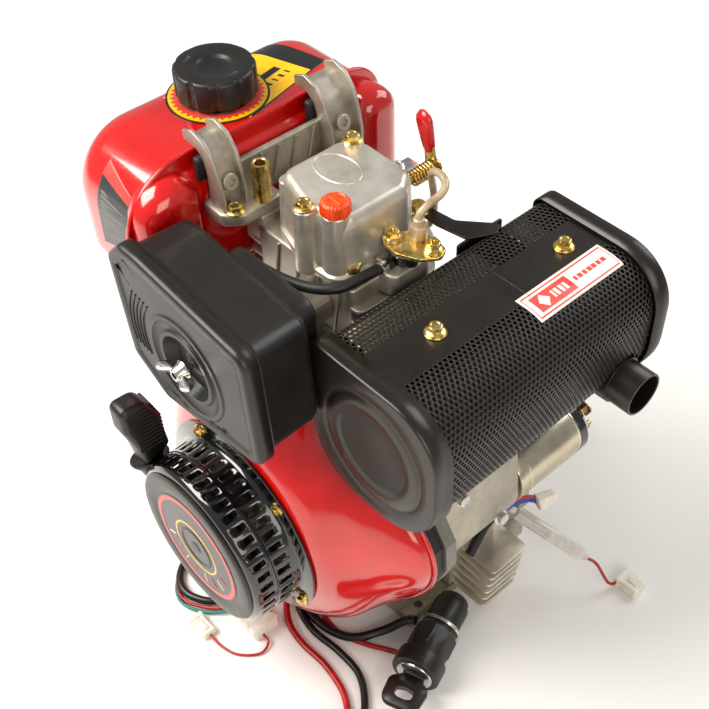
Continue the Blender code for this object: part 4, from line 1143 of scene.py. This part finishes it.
class ENGINE_OT_air_cleaner(bpy.types.Operator):
    """Make the air cleaner's body, its embossed cover and the wing nut"""

    bl_idname = "engine.air_cleaner"
    bl_label = "Air cleaner"

    def execute(self, context):
        cover = "air_cleaner_cover"
        outline = even_outline(cleaner_outline(), 192)
        levels = [(outline, -152.2)]
        for turn in (0, 25, 50, 70, 90):
            angle = math.radians(turn)
            inset = 4.2 * (1 - math.cos(angle))
            levels.append((inset_outline(outline, inset), -161 - 4.2 * math.sin(angle)))
        face = inset_outline(outline, 4.2)
        levels += [(inset_outline(face, 6), -165.2), (inset_outline(face, 7.2), -164.2),
                   (inset_outline(face, 9), -164.2), (towards_circle(face, 0.45, 44), -164.2),
                   (towards_circle(face, 1, 46), -164.2), (towards_circle(face, 1, 44.6), -165.4),
                   (towards_circle(face, 1, 41), -165.4), (towards_circle(face, 1, 39.6), -164),
                   (towards_circle(face, 1, 33), -163.2), (towards_circle(face, 1, 31.4), -165),
                   (towards_circle(face, 1, 28), -165), (towards_circle(face, 1, 25), -158),
                   (towards_circle(face, 1, 23.5), -155.2), (towards_circle(face, 1, 12), -154.6),
                   (towards_circle(face, 1, 11), -156), (towards_circle(face, 1, 3.6), -156)]
        rings = [[(x, y, z) for x, z in ring] for ring, y in levels]
        made = loft("cleaner_cover_pressed", rings, "abs_black_grained", cover, cover, 40,
                    caps=False)
        add_thickness(made, 1.6)
        for index in range(5):
            radius = 54 + index * 4.4
            arc = []
            for step in range(25):
                angle = math.radians(140 + index * 2 + (62 - index * 4) * step / 24)
                arc.append((STUD[0] + radius * math.cos(angle) * 0.98, -164.4,
                            STUD[1] + radius * math.sin(angle)))
            tube(f"cleaner_cover_arc_{index}", arc, 0.8, "abs_black_grained", cover)
        body = even_outline(cleaner_outline(3), 192)
        deep = [(-152.0, 0), (-149, 0), (-147.6, 1.2), (-110, 2.4), (-105, 4.6), (-103, 8)]
        rings = [[(x, y, z) for x, z in inset_outline(body, inset)] for y, inset in deep]
        rings += [[(x, y, z) for x, z in inset_outline(body, inset)]
                  for y, inset in ((-106, 9), (-112, 4.6), (-151.6, 2.4))]
        rings.append(rings[0])
        loft("cleaner_body_moulded", rings, "abs_black_grained", "engine", (), 40, caps=False)
        plate("cleaner_floor", inset_outline(body, 5), -107.6, -103.6, "Y", 1,
              "abs_black_grained", "engine", "air_cleaner_body")
        rear = rounded([(-28, 336, 14), (66, 340, 14), (66, 425, 14), (-28, 428, 14)], 8)
        plate("cleaner_rear_box", rear, -104.4, -83.8, "Y", 4, "abs_black_grained")
        turned("cleaner_stud", [(0, -107), (2.8, -107), (2.8, -164.8), (0, -165.2)],
               (STUD[0], 0, STUD[1]), (0, 1, 0), "steel_bright_zinc", steps=24)
        nut = "wing_nut"
        turned("wing_nut_hub", [(3.4, -165.4), (8.2, -165.4), (8.4, -166.4), (6.6, -169),
                                (5.6, -174.4), (4.6, -175.4), (2.9, -175.2), (2.9, -165.4)],
               (STUD[0], 0, STUD[1]), (0, 1, 0), "steel_bright_zinc", nut, nut, 40)
        for side in (-1, 1):
            rings = []
            for step in range(9):
                t = step / 8
                x = STUD[0] + side * (4.5 + 15.5 * t)
                half = (2.2, 3.0, 4.2, 5.2, 6.0, 6.3, 5.8, 4.4, 1.4)[step]
                rise = 4.4 * t
                ring = []
                for corner in range(20):
                    angle = 2 * math.pi * corner / 20
                    ring.append((x, -171 - rise + half * math.sin(angle),
                                 STUD[1] + 1.7 * math.cos(angle) * (1 - 0.3 * t)))
                rings.append(ring)
            loft(f"wing_nut_wing_{'left' if side < 0 else 'right'}", rings,
                 "steel_bright_zinc", nut, (), 60)
        return {"FINISHED"}


# ---------------------------------------------------------------- recoil starter and cowl

def cowl_radius(angle):
    """Radius of the cowl's rim about the crank, by the angle from +X."""
    starter_side = 47 * math.exp(-(((math.degrees(angle) - 18) / 26) ** 2))
    duct = 40 * math.exp(-(((math.degrees(angle) - 90) / 22) ** 2))
    return 138 + starter_side + duct


def eased(stations, y):
    """Shares read between stations along Y, in a straight line between neighbouring stations."""
    for (a, *low), (b, *high) in zip(stations, stations[1:]):
        if b <= y <= a:
            share = (a - y) / (a - b)
            return [p + (q - p) * share for p, q in zip(low, high)]
    return stations[-1][1:]


class ENGINE_OT_cowl(bpy.types.Operator):
    """Make the red cooling cowl, its rim, washers and bolts"""

    bl_idname = "engine.cowl"
    bl_label = "Cooling cowl"

    def execute(self, context):
        stations = ((-70.4, 1.0, 0, 0), (-80, 1.0, 0, 1), (-86, 0.9, 0.1, 2), (-92, 0.74, 0.26, 2.4),
                    (-98, 0.53, 0.47, 2.4), (-104, 0.32, 0.68, 2.6), (-111, 0.12, 0.88, 6),
                    (-118, 0.02, 0.98, 12), (-124, 0.0, 1.0, 19), (-129, 0.0, 1.0, 27),
                    (-132, 0.0, 1.0, 34), (-133.2, 0.0, 1.0, 44), (-133.2, 0, 1, 62))
        samples = 144
        heights = [-70.4 - 62.8 * (1 - (1 - step / 40) ** 1.6) for step in range(40)]
        heights += [-133.2]
        rings = []
        for y in heights:
            cowl_share, round_share, shrink = eased(stations, y)
            rings.append([self.point(sample / samples, cowl_share, round_share, shrink, y)
                          for sample in range(samples)])
        for shrink in (44, 52, 62):
            rings.append([self.point(sample / samples, 0, 1, shrink, -133.2)
                          for sample in range(samples)])
        cowl = loft("cowl_pressed", rings, "enamel_red_gloss", "engine", "fan_shroud", 60, False)
        add_thickness(cowl, 1.8)
        smooth = cowl.modifiers.new("smoothed", "SMOOTH")
        smooth.factor = 0.5
        smooth.iterations = 4
        rim = [self.point(sample / samples, 1, 0, -1.2, -71.8) for sample in range(samples)]
        tube("cowl_rolled_rim", rim, 1.9, "enamel_red_gloss", closed=True)
        for index, angle in enumerate((-62, -8, 44, 128, 182, 236)):
            turn = math.radians(angle)
            reach = cowl_radius(turn) - 12
            place = (reach * math.cos(turn), -83, CRANK_Z + reach * math.sin(turn))
            outwards = (math.cos(turn), -0.8, math.sin(turn))
            washer(f"cowl_washer_{index}", place, outwards, 8, 3, 1.4)
            bolt(f"cowl_bolt_{index}", Vector(place) + Vector(outwards).normalized() * 1.4,
                 outwards, 8, 5, 6.2)
        return {"FINISHED"}

    def point(self, share, cowl_share, round_share, shrink, y):
        angle = 2 * math.pi * share - math.pi / 2
        radius = cowl_share * cowl_radius(angle) + round_share * 134 - shrink
        return (radius * math.cos(angle), y, CRANK_Z + radius * math.sin(angle))


class ENGINE_OT_recoil(bpy.types.Operator):
    """Make the slotted recoil housing, its face and the pull handle"""

    bl_idname = "engine.recoil"
    bl_label = "Recoil starter"

    def execute(self, context):
        slots = context.scene.engine_sizes.slots
        centre = (0, 0, CRANK_Z)
        per_slot = 6
        around = slots * per_slot
        levels = [(98, -133.6), (98, -135.4), (97, -136), (87, -136.6), (84.4, -138), (83.2, -141),
                  (82.9, -145), (82.6, -157), (82.5, -159.4), (81.5, -160), (81.4, -161.6),
                  (82.4, -162.2), (82.2, -164), (81.9, -176), (81, -179.4), (79.2, -181.8),
                  (76.6, -183.2), (20.5, -183.2)]
        points, faces = [], []
        for radius, y in levels:
            for step in range(around):
                angle = 2 * math.pi * (step + 0.5) / around
                points.append((radius * math.cos(angle), y, CRANK_Z + radius * math.sin(angle)))
        for level in range(len(levels) - 1):
            for step in range(around):
                part = step % per_slot
                shifted = (step + per_slot // 2) % per_slot
                if (level == 6 and part in (1, 2, 3)) or (level == 12 and shifted in (1, 2, 3)):
                    continue
                after = (step + 1) % around
                low, high = level * around, (level + 1) * around
                faces.append((low + step, low + after, high + after, high + step))
        housing = skin("recoil_housing_slotted", points, faces, "enamel_black_gloss", "engine",
                       "recoil_housing", 40)
        add_thickness(housing, 2.2)
        for index, angle in enumerate((-62, -27, 49, 118, 180, 240)):
            turn = math.radians(angle)
            place = (91.5 * math.cos(turn), -136.6, CRANK_Z + 91.5 * math.sin(turn))
            bolt(f"recoil_bolt_{index}", place, (0, -1, 0), 8, 5, 6.4)
        face = [(0, -186.4), (6, -186.4), (7, -185.6), (18, -185.6), (19.4, -186.6), (21, -186.6),
                (22.4, -185.7), (58, -185.7), (61, -186.6), (72.4, -186.6), (74.6, -186), (76, -184.6),
                (76, -183.5), (74, -183.4), (0, -183.4)]
        turned("recoil_face", face, centre, (0, 1, 0), "paint_black_heat_resistant", "engine",
               "recoil_cap", 96)
        for name, inner, outer, height, look in (
                ("sticker_base", 0.0, 56, -185.7, "vinyl_slate"),
                ("sticker_ring", 50, 54.5, -185.95, "vinyl_red"),
                ("sticker_inner_ring", 27, 29, -185.95, "vinyl_yellow")):
            turned(f"recoil_{name}", [(inner, height), (outer, height), (outer, height - 0.24),
                                      (inner, height - 0.24), (inner, height)], centre,
                   (0, 1, 0), look, steps=96)
        for index in range(8):
            turn = math.radians(200 + index * 20)
            here = [(r * math.cos(turn), -186.0, CRANK_Z + r * math.sin(turn)) for r in (34, 45)]
            tube(f"recoil_sticker_bar_{index}", here, 0.5,
                 "vinyl_red" if index % 2 else "vinyl_white")
        handle = "pull_handle"
        side = rounded([(-194, 254, 6), (-194, 281, 7), (-170, 280, 11), (-159, 256, 14),
                        (-155, 216, 4), (-161, 210, 3), (-165, 203, 2), (-182, 203, 2),
                        (-186, 228, 12)], 6)
        plate("pull_handle_moulded", side, -87, -65, "X", 5, "abs_black_grained", handle,
              "recoil_handle", 60)
        for index in range(11):
            z = 225 + index * 4.6
            edge = -158.2 - max(0, z - 252) * 0.36
            tube(f"pull_handle_rib_{index}", [(-84, edge, z), (-68, edge, z)], 1.5,
                 "abs_black_grained", handle)
            tube(f"pull_handle_back_rib_{index}", [(-65.4, edge - 3, z), (-65.4, edge - 26, z)],
                 1.2, "abs_black_grained", handle)
        turned("rope_guide_collar", [(5, -12), (9, -12), (11, -6), (13, 0), (17.5, 5), (18.4, 7.4),
                                     (17.4, 8.8), (14, 9), (6, 6), (5, 2), (5, -12)],
               (-75.5, -172, 193), (-0.35, 0, 0.94), "abs_black_grained", steps=48)
        return {"FINISHED"}


# ---------------------------------------------------------------- starter motor and electrics

class ENGINE_OT_starter(bpy.types.Operator):
    """Make the starter motor, its solenoid, terminals and nose"""

    bl_idname = "engine.starter"
    bl_label = "Electric starter"

    def execute(self, context):
        motor = [(0, 46.6), (31, 46.6), (31.5, 47.4), (31.5, 58), (30.8, 58.4), (30.8, 59.4),
                 (31.5, 60), (31.5, 121), (30.6, 121.8), (30.6, 123), (31.5, 123.6), (31.3, 125)]
        motor = [(radius * 0.97, y) for radius, y in motor] + [(0, 125)]
        turned("starter_motor_drum", motor, (138, 0, 186), (0, 1, 0), "steel_aluminised",
               "engine", "starter_motor", 72)
        solenoid = [(0, 46.6), (20, 46.6), (20.4, 48), (20.4, 70), (19.8, 70.6), (19.8, 71.8),
                    (20.4, 72.4), (20.4, 110), (21, 110.6), (21, 113), (20.4, 113.6), (0, 113.6)]
        turned("starter_motor_cap", [(0, 125), (29.8, 125), (30.6, 126), (30.6, 134), (27, 138.4),
                                     (12, 140), (0, 140)], (138, 0, 186), (0, 1, 0),
               "enamel_black_gloss", steps=72)
        turned("solenoid_can", solenoid, (130, 0, 239.6), (0, 1, 0), "steel_aluminised", "engine",
               "starter_solenoid", 72)
        turned("solenoid_cap", [(0, 113.6), (19.8, 113.6), (19.8, 122), (17, 126.4), (9, 127),
                                (8.4, 131.6), (0, 132)], (130, 0, 239.6), (0, 1, 0),
               "abs_black_grained", steps=72)
        for index, (x, z) in enumerate(((150, 204), (158, 190))):
            turned(f"solenoid_terminal_{index}", [(2.6, 134), (2.6, 148), (0, 148.4)], (x, 0, z),
                   (0, 1, 0), "copper_tinned", steps=24)
            bolt(f"solenoid_terminal_nut_{index}", (x, 139.4, z), (0, 1, 0), 8, 5, 5.4,
                 "copper_tinned")
        tag = rounded([(142, 206, 2), (156, 199, 3), (162, 212, 3), (148, 219, 2)], 4)
        plate("solenoid_tag", tag, 143, 144.6, "Y", 0.5, "copper_tinned")
        nose = rounded([(106.5, 153.4, 27), (171.6, 149.4, 31), (158.6, 262.4, 21), (107.6, 262.4, 19)], 8)
        plate("starter_nose_casting", nose, -45.8, 46.2, "Y", 6, "cast_aluminium_blasted",
              "engine", "starter_housing", 50)
        for index, (x, z, radius) in enumerate(((138, 186, 26), (130, 239.6, 15))):
            turned(f"starter_nose_ring_{index}", [(radius, -46), (radius + 3, -46),
                                                  (radius + 3, -48.4), (radius, -48.4),
                                                  (radius, -46)], (x, 0, z), (0, 1, 0),
                   "cast_aluminium_blasted")
        for index, (x, y, z) in enumerate(((166, 22, 170), (160, -24, 232))):
            bolt(f"starter_bolt_{index}", (x, y, z), (1, 0, 0.2), 10, 6, 7.6,
                 "steel_bright_zinc")
        tube("starter_link", smooth_path([(150, 144, 204), (146, 149, 214), (140, 146, 228),
                                          (134, 134, 236)], 3), 2.6, "copper_tinned")
        return {"FINISHED"}


class ENGINE_OT_electrics(bpy.types.Operator):
    """Make the regulator, the connectors, the fuse holder and the key switch"""

    bl_idname = "engine.electrics"
    bl_label = "Electrics"

    def execute(self, context):
        for fin in range(6):
            top = 67.4 - fin * 8.8
            shift = -2.4 * fin
            outline = rounded([(114, 28 + shift, 2), (161, 28 + shift, 5), (161, 76 + shift, 5),
                               (114, 76 + shift, 2)], 4)
            plate(f"regulator_plate_{fin}", outline, top - 2.6, top, "Z", 0.7, "cast_aluminium_lacquered")
        box("regulator_core", (105.6, 14, 14), (118, 76, 66.6), 1.4, "cast_aluminium_blasted",
            "engine", "regulator")
        bolt("regulator_bolt", (126, 36, 68), (0, 0, 1), 8, 5, 6, "steel_bright_zinc")
        way = Vector((0.35, 0.9, 0.1)).normalized()
        turned("stator_connector", [(0, 0), (8.4, 0), (9, 1), (9, 7), (8, 8), (8, 18), (7, 19),
                                    (0, 19)], (147, 100, 101), way, "nylon_natural", "engine", (),
               48, 28, lambda angle, radius: min(radius, hexagon(angle, radius * 0.9)))
        for index, look in enumerate(("pvc_blue", "pvc_blue", "pvc_red")):
            shift = -3.4 + 3.4 * index
            path = [(127, 58, 96 + shift / 2), (129, 70, 98 + shift), (134, 86, 102 + shift),
                    (141, 98, 103 + shift), (149, 103, 101 + shift)]
            tube(f"stator_wire_{index}", smooth_path(path, 3), 1.5, look)
        tube("stator_sleeve", smooth_path([(136, 20, 82), (132, 34, 88), (128, 48, 93),
                                           (127, 60, 96)], 3), 5, "rubber_moulded")
        run = FUSE_END - FUSE_START
        long = run.length
        holder = [(0, 0), (3, 0), (3.6, 1), (3.6, 6), (6.6, 8), (7.2, 10), (7.2, long * 0.48),
                  (7.7, long * 0.49), (7.7, long * 0.53), (7.2, long * 0.54), (7.2, long - 10),
                  (6.2, long - 7), (3.6, long - 4), (3.2, long), (0, long)]
        turned("fuse_holder_body", holder, FUSE_START, run, "polyethylene_clear", "engine",
               "fuse_holder", 48)
        tube("fuse_core", [FUSE_START + run * 0.1, FUSE_START + run * 0.9], 2.4, "pvc_red")
        for name, low, high in (("signal", (-32, -196, 0.4), (-6, -182, 9)),
                                ("fuse", (224, 142, 0.4), (250, 160, 12))):
            middle = [(a + b) / 2 for a, b in zip(low, high)]
            box(f"{name}_plug_rim", (low[0] - 0.1, low[1] - 0.8, 0.3),
                (low[0] + 5, high[1] + 0.8, high[2] + 0.8), 1, "nylon_natural")
            box(f"{name}_plug_latch", (middle[0] - 3, middle[1] - 2.4, high[2] - 0.4),
                (middle[0] + 8, middle[1] + 2.4, high[2] + 1.4), 0.6, "nylon_natural")
        for index in range(4):
            x = -11 + index * 10.4
            box(f"loom_connector_cell_{index}", (x, -160.6, 3), (x + 8, -131.4, 14.5), 1,
                "nylon_natural")
        rear, front = Vector((137, 3, 24)), Vector((168, -82, 24))
        run = front - rear
        unit = run.normalized()
        long = run.length
        profile = [(0, 0), (13, 0), (14.6, 1.6), (14.8, 6), (17, 8), (17.4, 10), (17.4, 30),
                   (18.2, 31), (18.2, 33), (17.4, 34), (17.4, 38), (19.6, 42), (21.4, 44), (21.6, 62),
                   (20, 64), (20, 70), (23.2, 72), (23.8, 74), (23.8, long - 1.4), (22.6, long),
                   (0, long)]

        def faceted(angle, radius):
            return min(radius, 19.9 / math.cos((angle % (math.pi / 4)) - math.pi / 8)) \
                if 21 < radius < 22 else radius

        turned("switch_body", profile, rear, run, "abs_black_grained", "engine", "key_switch",
               64, 28, faceted)
        turned("switch_chrome_ring", [(17.6, 34.6), (21, 35), (21.8, 36.6), (21, 38.6), (17.6, 39.2),
                                      (17.6, 34.6)], rear, run, "steel_bright_zinc")
        turned("switch_ring", [(11, -0.2), (17.4, -0.2), (18, 0.4), (17.6, 1.4), (14, 2.0), (11, 1.6),
                               (11, -0.2)], front, run, "steel_bright_zinc")
        key = "ignition_key"
        start = front + unit * 2.4
        side = Vector((unit.y, -unit.x, 0))
        corners = []
        for along, across, radius in ((0, -8, 2), (0, 8, 2), (9, 20, 8), (35, 18, 10),
                                      (35, -18, 10), (9, -20, 8)):
            point = start + unit * along + side * across
            corners.append((point.x, point.y, radius))
        bow = rounded(corners, 6)
        middle = start + unit * 20
        hole = []
        for x, y in bow:
            a = math.atan2(y - middle.y, x - middle.x)
            turn = Vector((math.cos(a), math.sin(a), 0))
            reach = 1 / math.sqrt((turn.dot(unit) / 6.0) ** 2 + (turn.dot(side) / 10) ** 2)
            hole.append((middle.x + turn.x * reach, middle.y + turn.y * reach))
        rings = []
        for outline, height in ((hole, 20.4), (inset_outline(bow, 1.6), 20.4), (bow, 22),
                                (bow, 26), (inset_outline(bow, 1.6), 27.6), (hole, 27.6),
                                (hole, 20.4)):
            rings.append([(x, y, height) for x, y in outline])
        loft("key_bow", rings, "abs_black_grained", key, key, 50, caps=False)
        return {"FINISHED"}


# ---------------------------------------------------------------- crankcase

class ENGINE_OT_crankcase(bpy.types.Operator):
    """Add ribs, bolts, the oil seal, shaft key, drain plug and barrel fins of the crankcase and drive end
    """

    bl_idname = "engine.crankcase"
    bl_label = "Crankcase"

    def execute(self, context):
        spots = ((-94, 20), (-94, 120), (-94, 222), (0, 222), (94, 222), (94, 120), (94, 20), (0, 20))
        for index, (x, z) in enumerate(spots):
            bolt(f"case_bolt_{index}", (x, 144, z), (0, 1, 0), 10, 6, 7.8)
        for index in range(6):
            turn = math.radians(30 + 60 * index)
            bolt(f"bearing_bolt_{index}", (58 * math.cos(turn), 144, CRANK_Z + 58 * math.sin(turn)),
                 (0, 1, 0), 8, 5.4, 6.4)
            here = [(r * math.cos(turn + 0.52), 145, CRANK_Z + r * math.sin(turn + 0.52))
                    for r in (44, 74)]
            tube(f"bearing_rib_{index}", here, 2.6, "cast_aluminium_blasted")
        turned("oil_seal", [(20.4, 165), (27, 165), (27.6, 166.4), (22, 167), (20.4, 166), (20.4, 165)],
               (0, 0, CRANK_Z), (0, 1, 0), "rubber_moulded")
        box("shaft_key", (-3.1, 178.4, CRANK_Z + 9.6), (3.1, 226, CRANK_Z + 15), 0.8,
            "steel_turned", "crank")
        for index in range(5):
            x = -80 + index * 40
            tube(f"case_rib_{index}", [(x, 136, 15.2), (x, -36, 15.2)], 2.6,
                 "cast_aluminium_blasted")
        turned("drain_plug", [(7.8, -106), (7.8, -109), (6, -110), (6, -113), (0, -113)],
               (0, 10, 30), (1, 0, 0), "steel_yellow_zinc", steps=48, sharp=28,
               shape=lambda angle, radius: min(radius, hexagon(angle, 5.4)) if radius < 6.5
               else radius)
        fin = even_outline(rounded([(-78.6, -45.2, 10), (70.6, -45.2, 10), (70.6, 72.4, 10),
                                    (-78.6, 72.4, 10)], 5), 96)
        rim = inset_outline(fin, 1.2)
        bore = []
        for x, y in fin:
            way = Vector((x, y - 2)).normalized() * 44.6
            bore.append((way.x, way.y + 2))
        for index, z in enumerate((246, 257, 268, 279, 290, 301, 312, 323, 334)):
            levels = ((bore, -0.2), (rim, -0.2), (fin, 0.9), (fin, 2.5), (rim, 3.6), (bore, 3.6),
                      (bore, -0.2))
            rings = [[(x, y, z + height) for x, y in edge] for edge, height in levels]
            loft(f"barrel_fin_{index}", rings, "cast_aluminium_blasted", caps=False)
        bolt("pump_union", (-76, 98, 284), (0, 0, 1), 14, 10, 8, "steel_bright_zinc")
        for index, (x, y) in enumerate(((-90, 86), (-62, 112))):
            bolt(f"pump_bolt_{index}", (x, y, 262), (0, 0, 1), 8, 5, 6.2)
        return {"FINISHED"}


# ---------------------------------------------------------------- finishes of the carried-over nodes

NODE_FINISH = {
    "crankcase": "cast_aluminium_blasted", "crankcase_cover": "cast_aluminium_blasted",
    "crankshaft": "steel_turned", "camshaft": "steel_turned", "piston": "steel_turned",
    "flywheel": "steel_turned", "cooling_fan": "abs_black_grained",
    "recoil_cup": "steel_bright_zinc", "recoil_pulley": "abs_black_grained",
    "injection_pump": "cast_aluminium_blasted",
    "speed_lever": "steel_yellow_zinc", "oil_dipstick": "abs_black_grained",
    "air_filter_element": "foam_open_cell", "intake_pipe": "cast_aluminium_blasted",
    "muffler_body": "paint_black_heat_resistant",
    "shroud_seal": "rubber_moulded", "shroud_backplate": "primer_grey",
    "red_lead_terminal": "copper_tinned", "signal_plug": "nylon_natural",
    "loom_connector": "nylon_natural", "fuse_plug": "nylon_natural",
}


class ENGINE_OT_finishes(bpy.types.Operator):
    """Give every carried-over casting and turned part its finish"""

    bl_idname = "engine.finishes"
    bl_label = "Finishes"

    def execute(self, context):
        for node, look in NODE_FINISH.items():
            made = bpy.data.objects[node]
            for place in made.material_slots:
                place.material = finish(look)
            if not made.material_slots:
                made.data.materials.append(finish(look))
        return {"FINISHED"}


# ---------------------------------------------------------------- panel and running

OPERATORS = (ENGINE_OT_stage, ENGINE_OT_leads, ENGINE_OT_exhaust, ENGINE_OT_tank,
             ENGINE_OT_bracket, ENGINE_OT_head, ENGINE_OT_air_cleaner, ENGINE_OT_cowl,
             ENGINE_OT_recoil, ENGINE_OT_starter, ENGINE_OT_electrics, ENGINE_OT_crankcase,
             ENGINE_OT_finishes)


class ENGINE_PT_panel(bpy.types.Panel):
    """Lists the sizes, the light and the building steps of the engine"""

    bl_idname = "ENGINE_PT_panel"
    bl_label = "Small diesel engine"
    bl_space_type = "VIEW_3D"
    bl_region_type = "UI"
    bl_category = "Engine"

    def draw(self, context):
        for group in (context.scene.engine_sizes, context.scene.engine_studio):
            for name in group.__annotations__:
                self.layout.prop(group, name)
        for operator in OPERATORS:
            self.layout.operator(operator.bl_idname)


CLASSES = (EngineSizes, EngineStudio, *OPERATORS, ENGINE_PT_panel)


def register():
    for made in CLASSES:
        bpy.utils.register_class(made)
    bpy.types.Scene.engine_sizes = bpy.props.PointerProperty(type=EngineSizes)
    bpy.types.Scene.engine_studio = bpy.props.PointerProperty(type=EngineStudio)


def unregister():
    del bpy.types.Scene.engine_studio
    del bpy.types.Scene.engine_sizes
    for made in reversed(CLASSES):
        bpy.utils.unregister_class(made)


def main():
    register()
    for operator in OPERATORS:
        group, name = operator.bl_idname.split(".")
        getattr(getattr(bpy.ops, group), name)()


if __name__ == "__main__":
    main()
